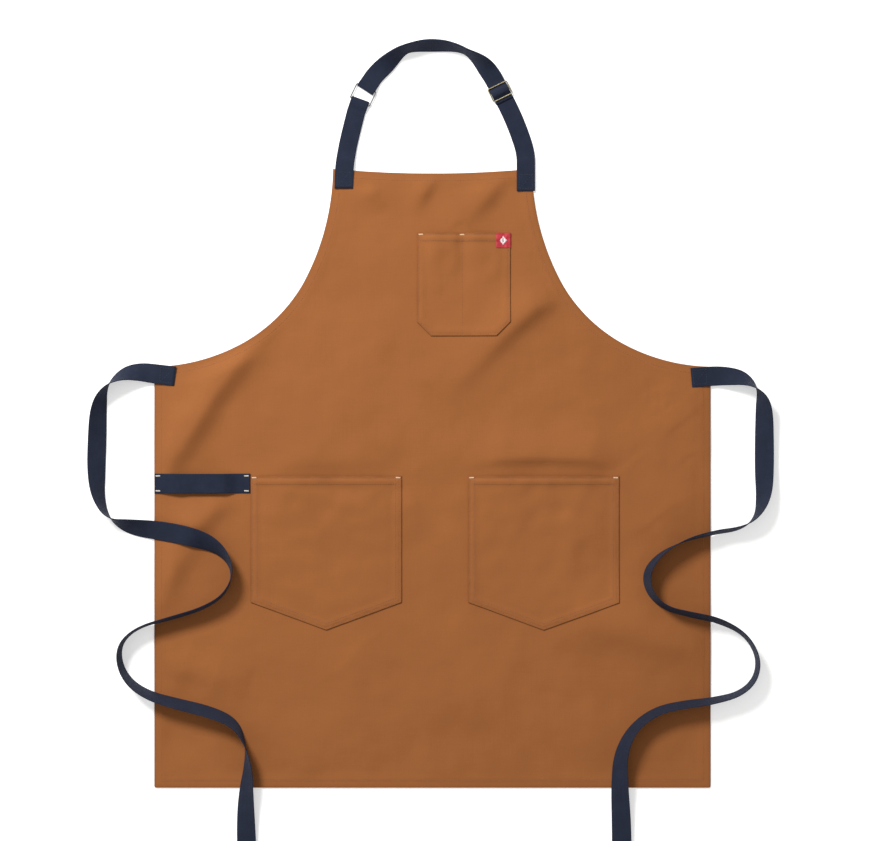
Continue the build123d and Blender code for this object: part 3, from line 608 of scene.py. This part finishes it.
def metal_material(name, base, tarnish, roughness):
    """Wire with fine drawing lines, tarnish and worn high spots."""
    made, tree, shader = new_material(name)
    where = tree.nodes.new("ShaderNodeTexCoord").outputs["Object"]
    cloudy = stretched_noise(tree, where, (420, 420, 420), 4, 0.65)
    lines = stretched_noise(tree, where, (5000, 900, 900), 2, 0.5)
    tree.links.new(ramp(tree, cloudy, [(0.35, tarnish), (0.62, base)]), shader.inputs["Base Color"])
    low, high = roughness
    tree.links.new(ramp(tree, lines, [(0.3, (low,) * 3), (0.7, (high,) * 3)]), shader.inputs["Roughness"])
    bump(tree, shader, lines, 0.04, 0.5)
    shader.inputs["Metallic"].default_value = 1.0
    return made


canvas = canvas_material("canvas", (0.298, 0.1055, 0.0305), (0.318, 0.1140, 0.0345))
webbing = webbing_material("webbing", (0.0145, 0.0195, 0.0385), (0.0185, 0.0245, 0.0475))
brown_thread = thread_material("brown_thread", (0.24, 0.082, 0.028), (0.33, 0.125, 0.048))
navy_thread = thread_material("navy_thread", (0.0125, 0.0165, 0.032), (0.0165, 0.0215, 0.041))
cream_thread = thread_material("cream_thread", (0.70, 0.44, 0.25), (0.88, 0.62, 0.40))
pale_thread = thread_material("pale_thread", (0.55, 0.52, 0.47), (0.78, 0.74, 0.66))
tag_red = thread_material("tag_red", (0.40, 0.010, 0.022), (0.48, 0.016, 0.034))
tag_white = thread_material("tag_white", (0.82, 0.74, 0.74), (0.95, 0.90, 0.90))
brass = metal_material("brass", (0.50, 0.44, 0.27), (0.26, 0.22, 0.12), (0.34, 0.52))
gunmetal = metal_material("gunmetal", (0.15, 0.15, 0.155), (0.06, 0.06, 0.065), (0.30, 0.46))


def placed(piece, body, slot, *nodes):
    """Every piece rides on its body and stands for some CAD nodes, which are hidden; the slot is not used."""
    if body:
        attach(piece, body)
    if nodes:
        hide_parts(*nodes)
    return piece


# ---- waist ties ----
def surface_under(x, y):
    """What a tape can lie on: the panel where there is panel, and otherwise the table."""
    inside = inside_panel(x, y)
    return np.where(inside, panel_surface(x, y) + 0.15, TABLE)


def inside_panel(x, y):
    """Whether points are over the panel."""
    ring = np.array(PANEL_RING)
    following = np.roll(ring, -1, axis=0)
    x, y = np.asarray(x)[:, None], np.asarray(y)[:, None]
    spans = (ring[:, 1] > y) != (following[:, 1] > y)
    rise = np.where(following[:, 1] == ring[:, 1], 1e-9, following[:, 1] - ring[:, 1])
    crossing = ring[:, 0] + (y - ring[:, 1]) / rise * (following[:, 0] - ring[:, 0])
    return (spans & (x < crossing)).sum(axis=1) % 2 == 1


def tape_frames(flat, tilt, width, thickness, on, level=0.0):
    """Centre points and across directions of a tape whose lower edge touches what it lies on."""
    ahead = tangents(np.column_stack([flat, np.zeros(len(flat))]))
    side = np.column_stack([-ahead[:, 1], ahead[:, 0], np.zeros(len(flat))])
    angle = np.radians(tilt)
    across = side * np.cos(angle)[:, None]
    across[:, 2] = np.sin(angle)
    rise = np.abs(np.sin(angle)) * width / 2 + np.abs(np.cos(angle)) * thickness / 2
    half = side[:, :2] * (np.cos(angle) * width / 2)[:, None]
    rest = np.max([on(*(flat + half * share).T) for share in (-1, -0.5, 0, 0.5, 1)], axis=0)
    line = np.column_stack([flat, evened(np.maximum(rest, evened(rest, 6)) + rise, 3)])
    outward = np.cross(ahead, across)
    outward *= np.where(outward[:, 2:] < 0, -1, 1)
    return line + outward * level, across


def waist_tie(name, route, node_name):
    """One waist tie, its folded end and the thread that holds both."""
    rises = [rest + abs(math.sin(math.radians(tilt))) * TIE_WIDTH / 2 + abs(math.cos(math.radians(tilt))) * TAPE / 2
             for x, y, tilt, rest in route]
    spline = read_line([(x * MM, y * MM, z * MM) for (x, y, tilt, rest), z in zip(route, rises)])
    tilts = read_line([(tilt, rest, 0) for x, y, tilt, rest in route])
    flat = spline[:, :2] / MM
    line, across = tape_frames(flat, tilts[:, 0], TIE_WIDTH, TAPE, surface_under)
    tie = placed(ribbon(name, line, across, TIE_WIDTH, webbing), "root", "webbing", node_name)
    fold = 14.0
    run = np.cumsum(np.linalg.norm(np.diff(line[::-1], axis=0), axis=1))
    last = int(np.searchsorted(run, fold)) + 2
    normal = np.cross(tangents(line), across)
    normal *= np.where(normal[:, 2:] < 0, -1, 1)
    flap_line = (line + normal * (TAPE * 0.98))[-last:]
    flap = placed(ribbon(name + "_hem", flap_line, across[-last:], TIE_WIDTH - 0.6, webbing), "root", "webbing")
    middles, directions = [], []
    for back in (3.0, 11.5):
        i = len(line) - 1 - int(np.searchsorted(run, back))
        for v in np.arange(-TIE_WIDTH / 2 + 2.5, TIE_WIDTH / 2 - 1.5, 2.9):
            middles.append(line[i] + across[i] * v + normal[i] * (TAPE * 1.5 + 0.05))
            directions.append(across[i])
    seam = placed(threads(name + "_hem_stitching", middles, directions, navy_thread, 2.3, 0.26), "root", "webbing")
    path = line * MM
    tuple(path[0])
    return line, across


tie_left_line, tie_left_across = waist_tie("waist_tie_left_webbing", TIE_LEFT_ROUTE, "waist_tie_left")
tie_right_line, tie_right_across = waist_tie("waist_tie_right_webbing", TIE_RIGHT_ROUTE, "waist_tie_right")


# ---- panel ----
def panel_bottom(x, y, d):
    """The panel's under face: the hem's layers reach the table, and the single layer follows the folds."""
    single = panel_surface(x, y) - CLOTH
    return np.where(d < HEM_WIDTH, 0.0 * x + np.minimum(single, 0.02), np.maximum(single * smooth((d - HEM_WIDTH) / 3), 0.02))


def panel_top(x, y, d):
    """The panel's upper face, with a rounded edge."""
    return panel_surface(x, y) - 0.55 * np.exp(-d / 0.5)


panel = cloth_sheet("panel_canvas", PANEL_RING, (0.5, 1.4, 5.0, 8.0, 9.5, 11.0, 14.0, 18.0), 4.5, panel_top,
                    panel_bottom, canvas)
placed(panel, "root", "canvas", "apron_panel")

# ---- patches on the panel ----
left_low, left_high = nodes_span("pocket_left")
right_low, right_high = nodes_span("pocket_right")
chest_low, chest_high = nodes_span("chest_pocket")
TIP_RISE = 36.0
CHAMFER = 18.0
DIVIDER_X = 38.4


def lower_pocket_corners(low, high):
    """A lower pocket's five corners, anticlockwise from the mouth's left end."""
    middle = (low[0] + high[0]) / 2
    side = low[1] + TIP_RISE
    return [(low[0], high[1]), (low[0], side), (middle, low[1]), (high[0], side), (high[0], high[1])]


def chest_corners():
    """The chest pocket's six corners, anticlockwise from the mouth's left end."""
    (left, bottom), (right, top) = chest_low[:2], chest_high[:2]
    return [(left, top), (left, bottom + CHAMFER), (left + CHAMFER, bottom), (right - CHAMFER, bottom),
            (right, bottom + CHAMFER), (right, top)]


def gape(x, y, mouth, spans, lift, depth):
    """How far a pocket front stands off the panel: a slack mouth between sewn sides, closing downwards."""
    total = np.zeros(x.shape)
    for low, high in spans:
        across = np.clip(1 - ((x - (low + high) / 2) / ((high - low) / 2)) ** 2, 0, None)
        down = smooth(1 - (mouth - y) / depth)
        uneven = 0.8 + 0.2 * np.sin((x - low) * 7.5 / (high - low)) + 0.08 * ripple(x, y, 30)
        total = total + lift * across * down * uneven
    return total


def patch_surface(corners, spans, lift, depth, hem):
    """The height function of a patch's upper face."""
    ring = polygon(corners)
    mouth = corners[0][1]

    def surface(x, y):
        x, y = np.atleast_1d(np.asarray(x, float)), np.atleast_1d(np.asarray(y, float))
        d = edge_distance(x, y, ring)
        rim = 1.75 - 0.5 * np.exp(-(((d - 2.4) / 1.1) ** 2)) - 0.7 * smooth((d - 8.5) / 4)
        rim = rim - 0.4 * np.exp(-d / 0.45)
        folded = 0.55 * smooth((y - mouth + hem + 2) / 3)
        pucker = 0.16 * np.exp(-(((d - 4) / 4) ** 2)) * ripple(x, y, 7)
        slack = 0.25 * smooth((d - 9) / 12) * (ripple(x + 90, y, 34) + 0.6)
        return panel_surface(x, y) + np.maximum(rim + pucker + slack + folded * smooth((d - 3) / 4),
                                                0.5) + gape(x, y, mouth, spans, lift, depth)
    return surface, ring


def patch(name, corners, spans, lift, depth, node_name, hem=10.0):
    """A patch pocket of one layer, hollow where its mouth is slack."""
    surface, ring = patch_surface(corners, spans, lift, depth, hem)
    mouth = corners[0][1]

    def bottom(x, y, d):
        layers = np.where(d < 8, 1.4, CLOTH) + CLOTH * smooth((y - mouth + hem) / 2)
        stand_off = gape(x, y, mouth, spans, lift, depth)
        floor = panel_surface(x, y) - 0.25
        return np.where(stand_off > 0.6, np.maximum(surface(x, y) - layers, floor), np.minimum(surface(x, y) - 0.3, floor))

    made = cloth_sheet(name, ring, (0.4, 1.1, 2.3, 3.6, 5.5, 8.5, 11.0), 4.0, lambda x, y, d: surface(x, y), bottom, canvas)
    placed(made, "root", "canvas", node_name)
    width, height = corners[-1][0] - corners[0][0], mouth - min(c[1] for c in corners)
    a = np.array(corners)
    return surface


FLANGE = 9.5
left_spans = [(left_low[0] + FLANGE, left_high[0] - FLANGE)]
right_spans = [(right_low[0] + FLANGE, right_high[0] - FLANGE)]
chest_spans = [(chest_low[0] + 8.5, DIVIDER_X - 3), (DIVIDER_X + 3, chest_high[0] - 8.5)]
left_corners, right_corners = lower_pocket_corners(left_low, left_high), lower_pocket_corners(right_low, right_high)
left_surface = patch("pocket_left_canvas", left_corners, left_spans, 6.0, 130.0, "pocket_left")
right_surface = patch("pocket_right_canvas", right_corners, right_spans, 6.0, 130.0, "pocket_right")
chest_surface = patch("chest_pocket_canvas", chest_corners(), chest_spans, 4.8, 100.0, "chest_pocket")


# ---- thread ----
def stitched(name, runs, material, slot_name, *nodes, pitch=3.3, length=2.7, radius=0.3):
    """One piece of stitching made of several runs, each (path, surface, closed, skip)."""
    middles, directions = [], []
    for path, surface, closed, skip in runs:
        m, d = stitch_places(path, surface, pitch, closed, skip)
        middles.append(m)
        directions.append(d)
    made = threads(name, np.concatenate(middles), np.concatenate(directions), material, length, radius)
    return placed(made, "root", slot_name, *nodes)


towel_low, towel_high = nodes_span("towel_loop")
TOWEL_Y = (towel_low[1] + towel_high[1]) / 2


def under_webbing(x, y):
    """Where the hem's stitching is hidden under sewn webbing."""
    neck = (y > 290) & ((np.abs(x - 120) < 12.5) | (np.abs(x + 116.3) < 12.5))
    ties = (np.abs(x) > 334) & (np.abs(y - 50.5) < 15)
    towel = (x < towel_high[0] + 1) & (np.abs(y - TOWEL_Y) < 13.5)
    return neck | ties | towel


HEM_SEAM = 9.5
hem_line = [tuple(p) for p in inset_ring(PANEL_RING, HEM_SEAM)]
stitched("hem_thread", [(hem_line, panel_surface, True, under_webbing)], brown_thread, "dark_thread", "hem_stitching")


def inset_corners(corners, distance):
    """A convex polygon drawn in by a distance."""
    a = np.array(corners)
    following = np.roll(a, -1, axis=0)
    ahead = (following - a) / np.linalg.norm(following - a, axis=1)[:, None]
    inward = np.stack([-ahead[:, 1], ahead[:, 0]], axis=1)
    moved = []
    for i in range(len(a)):
        n0, n1 = inward[i - 1], inward[i]
        moved.append(tuple(a[i] + (n0 + n1) * distance / (1 + n0 @ n1)))
    return moved


def pocket_runs(corners, surface, rows, hem, skip=None):
    """The rows of stitches round a pocket's sides and bottom, and the two along its mouth."""
    mouth = corners[0][1]
    runs = []
    for inset in rows:
        line = inset_corners(corners, inset)
        line[0], line[-1] = (line[0][0], mouth - 0.8), (line[-1][0], mouth - 0.8)
        runs.append((straight_path(line), surface, False, skip))
    for down in (2.6, hem):
        ends = [(corners[0][0] + 2.6, mouth - down), (corners[-1][0] - 2.6, mouth - down)]
        runs.append((straight_path(ends), surface, False, skip))
    return runs


def straight_path(corners):
    """A path through corners with points every 2 millimetres."""
    path = [corners[0]]
    for a, b in zip(corners, corners[1:]):
        path += straight(a, b, 2.0)
    return path


tag_low, tag_high = nodes_span("woven_tag")
stitched("pocket_left_thread", pocket_runs(left_corners, left_surface, (2.4, 8.2), 10.4), brown_thread,
         "dark_thread", "pocket_left_stitching")
stitched("pocket_right_thread", pocket_runs(right_corners, right_surface, (2.4, 8.2), 10.4), brown_thread,
         "dark_thread", "pocket_right_stitching")


def under_tag(x, y):
    """Where the chest pocket's stitching is hidden under the tag."""
    return (x > tag_low[0]) & (y > tag_low[1])


chest_runs = pocket_runs(chest_corners(), chest_surface, (2.4,), 10.4, under_tag)
divider = straight_path([(DIVIDER_X, chest_high[1] - 2), (DIVIDER_X, chest_low[1] + 2.4)])
stitched("chest_pocket_thread", chest_runs + [(divider, chest_surface, False, None)], brown_thread,
         "dark_thread", "chest_pocket_stitching")


def bartack(places, surface, material, name, node_name, size=(5.2, 2.1)):
    """Bars of tight zigzag thread. A place is a middle and a turn in degrees."""
    middles, directions = [], []
    for x, y, turn in places:
        along = polar((0, 0), 1, turn)
        for i, t in enumerate(np.linspace(-size[0] / 2, size[0] / 2, 13)):
            lean = polar((0, 0), 1, turn + (72 if i % 2 else 108))
            px, py = x + along[0] * t, y + along[1] * t
            middles.append((px, py, float(surface(px, py)[0]) + 0.42 + 0.12 * (i % 2)))
            directions.append((lean[0], lean[1], 0))
    made = threads(name, np.array(middles), np.array(directions), material, size[1] + 0.4, 0.34)
    return placed(made, "root", "cream_thread", node_name)


def pockets_surface(x, y):
    """The uppermost cloth at a point on any pocket."""
    x, y = np.atleast_1d(x), np.atleast_1d(y)
    if y[0] > 90:
        return chest_surface(x, y)
    return left_surface(x, y) if x[0] < 0 else right_surface(x, y)


MOUTH = left_high[1]
pocket_places = [(x, MOUTH - 2.2, 3 * turn) for x, turn in (
    (left_low[0] + 4.6, 1), (left_high[0] - 4.6, -1), (right_low[0] + 4.6, 1), (right_high[0] - 4.6, -1))]
pocket_places += [(chest_low[0] + 5.0, chest_high[1] - 2.2, 2), (DIVIDER_X, chest_high[1] - 2.6, 0)]
bartack(pocket_places, pockets_surface, cream_thread, "pocket_bartack_thread", "pocket_bartacks")


# ---- woven tag ----
def tag_piece():
    """A folded woven label with a plain lozenge."""
    x0, y0, x1, y1 = tag_low[0], tag_low[1], tag_high[0], tag_high[1]
    ring = polygon([(x0, y0), (x1 + 0.6, y0), (x1 + 0.6, y1), (x0, y1)], 1.0)

    def lid(x, y, d):
        return chest_surface(np.clip(x, None, x1 - 1.5), y) + 0.75 + 0.2 * ripple(x, y, 9) - 0.35 * np.exp(-d / 0.5)

    made = cloth_sheet("tag_weave", ring, (0.4, 1.2), 1.2, lid, lambda x, y, d: lid(x, y, d) - 0.65, tag_red)
    placed(made, "root", "red_tag", "woven_tag")
    cx, cy, half = (x0 + x1) / 2, (y0 + y1) / 2, 5.6
    middles, directions = [], []
    for t in np.arange(-half, half + 0.1, 0.55):
        reach = half - abs(t)
        for share in (-0.5, 0.5) if reach > 3.2 else (0,):
            px, py = cx + share * reach, cy + t
            middles.append((px, py, float(lid(np.array([px]), np.array([py]), np.array([4.0]))[0]) + 0.02))
            directions.append((1.0, 0.0, 0.0, 2 * reach / (2 if reach > 3.2 else 1)))
    points, faces = [], []
    for (px, py, pz), (_, _, _, long) in zip(middles, directions):
        single = threads("bit", np.array([(px, py, pz)]), np.array([(1.0, 0, 0)]), tag_white, max(long, 0.9), 0.3)
        base = len(points)
        points += [tuple(v.co / MM) for v in single.data.vertices]
        faces += [tuple(base + i for i in f.vertices) for f in single.data.polygons]
        bpy.data.objects.remove(single)
    figure = add_mesh("tag_figure", points, faces, tag_white)
    placed(figure, "root", "cream_thread")


tag_piece()

# ---- towel loop ----
SEWN, RAMP, ARCH = 15.0, 20.0, 5.6


def towel_line():
    """The loop's centreline: flat on the cloth where it is sewn, arched between."""
    x = np.linspace(towel_low[0], towel_high[0], 90)
    inner = np.minimum(x - towel_low[0], towel_high[0] - x)
    rise = ARCH * smooth((inner - SEWN) / RAMP) * (0.9 + 0.1 * np.sin(x / 17))
    base = np.where(inside_panel(x, x * 0 + TOWEL_Y), panel_surface(x, x * 0 + TOWEL_Y), PANEL_TOP)
    ground = evened(np.max([base, panel_surface(np.maximum(x, towel_low[0] + 1), x * 0 + TOWEL_Y + 11),
                            panel_surface(np.maximum(x, towel_low[0] + 1), x * 0 + TOWEL_Y - 11)], axis=0), 8)
    return np.column_stack([x, x * 0 + TOWEL_Y, ground + TAPE / 2 + 0.1 + rise])


loop_line = towel_line()
loop_across = np.tile([0.0, 1.0, 0.0], (len(loop_line), 1))
placed(ribbon("towel_loop_webbing", loop_line, loop_across, TIE_WIDTH, webbing), "root", "webbing", "towel_loop")


def loop_surface(x, y):
    """The towel loop's upper face."""
    return np.interp(np.atleast_1d(x), loop_line[:, 0], loop_line[:, 2]) + TAPE / 2 - 0.3


loop_places = [(x, TOWEL_Y + up * 9.7, 2 * up) for x in (towel_low[0] + 4.6, towel_high[0] - 4.8) for up in (-1, 1)]
bartack(loop_places, loop_surface, pale_thread, "towel_loop_bartack_thread", "towel_loop_bartacks", (5.2, 1.9))

# ---- neck: ring, slider and straps ----
RING_CENTRE, RING_ANGLE, RING_SPACING = (-90.1, 415.5), -25.6, 20.5
UPPER_FOLD_ANGLE, TAB_FOLD_ANGLE = 57.0, 250.0
FOLD_END = 13.75
ARC_CENTRE, ARC_RADIUS, SLIDER_ANGLE = (-215.15, 246.36), 349.0, 29.8
ARC_LOW_ANGLE, LOW_BEND_RADIUS = 17.5, 77.8
FRAME_TURN = 26.0
SLIDER_HEIGHT = 3.75
END_LOOP_RADIUS = 1.65
FOLD = [(12.75, 1.86), (10.5, 2.05), (8.0, 2.85), (5.6, 3.7), (4.1, 4.02), (1.0, 4.1)]
BEND_CENTRE, BEND_RADIUS = (-1.9, 2.35), 1.75
SLIDER_CENTRE = polar(ARC_CENTRE, ARC_RADIUS, SLIDER_ANGLE)
UPPER_BAR = polar(RING_CENTRE, RING_SPACING / 2, RING_ANGLE + 90)
LOWER_BAR = polar(RING_CENTRE, RING_SPACING / 2, RING_ANGLE - 90)


def along_strap(centre, angle, profile):
    """Points and across directions from a side view (distance along the strap, height)."""
    ahead = polar((0, 0), 1, angle)
    line = np.array([(*(np.array(centre) + ahead * s), z) for s, z in profile])
    across = np.tile([-ahead[1], ahead[0], 0.0], (len(profile), 1))
    return line, across


def fold_profile(far):
    """A strap end's side view from its bar's middle: in along the top, round the bar and out along the bottom."""
    bend = [(BEND_CENTRE[0] - BEND_RADIUS * math.sin(a), BEND_CENTRE[1] + BEND_RADIUS * math.cos(a))
            for a in np.linspace(0, math.pi, 12)]
    return [(far, 1.85)] + FOLD + bend + [(5, 0.6), (9, 0.6), (12.75, 0.6), (far, 0.6)]


ring_side = polar(UPPER_BAR, FOLD_END + 0.8, UPPER_FOLD_ANGLE)
slider_side = polar(SLIDER_CENTRE, 12.8, FRAME_TURN + 90)
neck_points = [(*ring_side, 0), *NECK_ROUTE, (*slider_side, 0)]
neck_flat = read_line([(x * MM, y * MM, 0) for x, y, tilt in neck_points])[:, :2] / MM
neck_tilt = read_line([(tilt, 0, 0) for x, y, tilt in neck_points])[:, 0]
neck_tilt = neck_tilt - neck_tilt[-1] * smooth(np.linspace(-4, 1, len(neck_tilt)))
middle = int(np.argmin(np.abs(neck_flat[:, 0])))


def neck_layer(level):
    """The upper layer of the doubled strap for level 1, the lower for -1."""
    return tape_frames(neck_flat, neck_tilt, NECK_WIDTH, 2 * TAPE + 0.1, lambda x, y: 0 * x, level * (TAPE + 0.06) / 2)


upper_line, upper_across = neck_layer(1)
under_line, under_across = neck_layer(-1)
fold_line, fold_across = along_strap(UPPER_BAR, UPPER_FOLD_ANGLE, fold_profile(FOLD_END + 0.8))
ring_line = np.concatenate([upper_line[middle:0:-1], fold_line, under_line[1:middle + 1]])
ring_across = np.concatenate([-upper_across[middle:0:-1], -fold_across, -under_across[1:middle + 1]])
flip = np.where((ring_across * -np.concatenate([upper_across[middle:0:-1], fold_across,
                                                under_across[1:middle + 1]])).sum(1) < 0, -1, 1)
ring_half = ribbon("neck_strap_ring_half", ring_line, ring_across * flip[:, None], NECK_WIDTH, webbing)
placed(ring_half, None, "webbing", "neck_strap_fold", "neck_strap_upper", "neck_strap_return")
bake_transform(ring_half)

WEAVE = [(12.0, 2.1), (8.6, 2.12), (6.6, 2.4), (4.5, 4.5), (3.0, 6.25), (1.5, 6.62), (0, 6.7), (-1.5, 6.62), (-3.0, 6.25),
         (-4.5, 4.5), (-6.6, 2.4), (-8.6, 2.12), (-12.0, 2.1), (-13.6, 1.95)]
weave_line, weave_across = along_strap(SLIDER_CENTRE, FRAME_TURN + 90, WEAVE)
slider_line = np.concatenate([upper_line[middle:-1], weave_line])
slider_across = np.concatenate([upper_across[middle:-1], -weave_across])
slider_upper = ribbon("neck_strap_slider_half", slider_line, slider_across, NECK_WIDTH, webbing)
placed(slider_upper, None, "webbing", "neck_strap_weave")
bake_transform(slider_upper)
slider_under = ribbon("neck_strap_return_half", under_line[middle:], under_across[middle:], NECK_WIDTH, webbing)
placed(slider_under, None, "webbing", "neck_strap_return")
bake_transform(slider_under)

end_loop = [(3.6, 2.1), (1.8, 2.1)]
end_loop += [(END_LOOP_RADIUS * math.sin(a), SLIDER_HEIGHT - END_LOOP_RADIUS * math.cos(a))
             for a in np.linspace(0, -2 * math.pi * 0.93, 22)]
end_line, end_across = along_strap(SLIDER_CENTRE, FRAME_TURN + 90, end_loop)
placed(ribbon("neck_strap_end_webbing", end_line, end_across, NECK_WIDTH - 0.8, webbing), "slider", "webbing",
       "neck_strap_end")


def off_bib(y):
    """Rest height of a strap that comes down from the bib onto the table."""
    return PANEL_TOP * np.clip(1 - (y - BIB_TOP - 9.5) / 9, 0, 1)


sewn_low, _ = nodes_span("neck_strap_lower")
start_angle = SLIDER_ANGLE + math.degrees(10 / ARC_RADIUS)
low_bend = polar(polar(ARC_CENTRE, ARC_RADIUS, ARC_LOW_ANGLE), -LOW_BEND_RADIUS, ARC_LOW_ANGLE)
lower_flat = np.array([polar(ARC_CENTRE, ARC_RADIUS, a) for a in np.linspace(start_angle, ARC_LOW_ANGLE, 50)]
                      + [polar(low_bend, LOW_BEND_RADIUS, a) for a in np.linspace(ARC_LOW_ANGLE - 1, 0, 14)]
                      + [(low_bend[0] + LOW_BEND_RADIUS, y) for y in np.linspace(low_bend[1] - 2, sewn_low[1], 18)])
lower_line, lower_across = tape_frames(lower_flat, np.zeros(len(lower_flat)), NECK_WIDTH, TAPE,
                                       lambda x, y: np.maximum(off_bib(y), np.where(y < BIB_TOP, 2.2, 0)))
placed(ribbon("neck_strap_lower_webbing", lower_line, lower_across, NECK_WIDTH, webbing), "root", "webbing",
       "neck_strap_lower")

TAB_ROUTE = [(-107.8, 360), (-112.4, 336), (-115.0, 316), (-115.2, 293.7)]
tab_side = polar(LOWER_BAR, FOLD_END, TAB_FOLD_ANGLE)
tab_flat = read_line([(x * MM, y * MM, 0) for x, y in [tuple(tab_side), *TAB_ROUTE]])[:, :2] / MM
tab_line, tab_across = tape_frames(tab_flat, np.zeros(len(tab_flat)), NECK_WIDTH, 2 * TAPE,
                                   lambda x, y: np.maximum(off_bib(y), np.where(y < BIB_TOP, 2.2, 0)))
tab_fold_line, tab_fold_across = along_strap(LOWER_BAR, TAB_FOLD_ANGLE, fold_profile(FOLD_END))
lift = np.array([0, 0, TAPE / 2 + 0.02])
whole_line = np.concatenate([tab_line[:0:-1] + lift, tab_fold_line, tab_line[1:] - lift])
whole_across = np.concatenate([tab_across[:0:-1], tab_fold_across * 1.0, tab_across[1:]])
whole_across *= np.where((whole_across * whole_across[0]).sum(1) < 0, -1, 1)[:, None]
placed(ribbon("neck_tab_webbing", whole_line, whole_across, NECK_WIDTH, webbing), "root", "webbing", "neck_tab")


# ---- thread at the webbing's sewn ends ----
def end_box(centre, turn, size, height):
    """A box of stitches with a cross in it."""
    u, v = polar((0, 0), 1, turn), polar((0, 0), 1, turn + 90)
    corners = [tuple(np.array(centre) + u * sx * size[0] / 2 + v * sy * size[1] / 2)
               for sx, sy in ((-1, -1), (1, -1), (1, 1), (-1, 1))]
    level = lambda x, y: np.full(np.shape(x), height)
    box = straight_path(corners + corners[:1])
    return [(box, level, False, None), (straight_path([corners[0], corners[2]]), level, False, None)]


tie_left_end, tie_right_end = np.array(TIE_LEFT_ROUTE[0][:2]), np.array(TIE_RIGHT_ROUTE[0][:2])
boxes = end_box(tie_left_end + (-11, 1), -5.7, (17, 18), float(tie_left_line[4][2]) + 0.62)
boxes += end_box(tie_right_end + (11, 1), 5.4, (17, 18), float(tie_right_line[4][2]) + 0.62)
boxes += end_box((tab_flat[-1][0], tab_flat[-1][1] + 12), 0, (17, 18), float(tab_line[-1][2]) + TAPE + 0.05)
boxes += end_box((lower_flat[-1][0], lower_flat[-1][1] + 12), 0, (17, 18), float(lower_line[-1][2]) + 0.65)
stitched("strap_end_thread", boxes, navy_thread, "dark_thread", "strap_end_stitching", radius=0.26)

# ---- metal: the CAD shapes are right, so they only get their finish ----
for name, finish, slot_name in (("strap_ring", gunmetal, "steel_wire"), ("slider_frame", brass, "brass_wire"),
                                ("slider_center_bar", brass, "brass_wire")):
    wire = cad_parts[name]
    wire.data.materials.clear()
    wire.data.materials.append(finish)
    for face in wire.data.polygons:
        face.use_smooth = True


# ---- table, light ----
def table_material():
    """Plain white card with the faintest unevenness."""
    made, tree, shader = new_material("table")
    where = tree.nodes.new("ShaderNodeTexCoord").outputs["Object"]
    cloudy = stretched_noise(tree, where, (3, 3, 3), 2)
    tree.links.new(ramp(tree, cloudy, [(0.3, (0.90, 0.90, 0.90)), (0.7, (0.92, 0.92, 0.92))]), shader.inputs["Base Color"])
    shader.inputs["Roughness"].default_value = 0.95
    shader.inputs["Specular IOR Level"].default_value = 0.0
    shader.inputs["Emission Color"].default_value = (1, 1, 1, 1)
    shader.inputs["Emission Strength"].default_value = 0.4
    return made


floor = add_mesh("table", [(-40000, -40000, 0), (40000, -40000, 0), (40000, 40000, 0), (-40000, 40000, 0)], [(0, 1, 2, 3)],
                 table_material())
floor.location.z = -0.0004

world = bpy.data.worlds.new("studio")
bpy.context.scene.world = world
world.use_nodes = True
world.node_tree.nodes["Background"].inputs["Color"].default_value = (1.0, 0.995, 0.985, 1)
world.node_tree.nodes["Background"].inputs["Strength"].default_value = 0.50
key_data = bpy.data.lights.new("softbox", "AREA")
key_data.shape = "DISK"
key_data.size = 0.95
key_data.energy = 114
key_data.color = (1.0, 0.985, 0.96)
key = bpy.data.objects.new("softbox", key_data)
key.location = (-1.41, 1.85, 2.2)
key.rotation_euler = Vector((1.41, -1.85, -2.2)).to_track_quat("-Z", "Y").to_euler()
bpy.context.scene.collection.objects.link(key)
bpy.context.scene.view_settings.view_transform = "Standard"
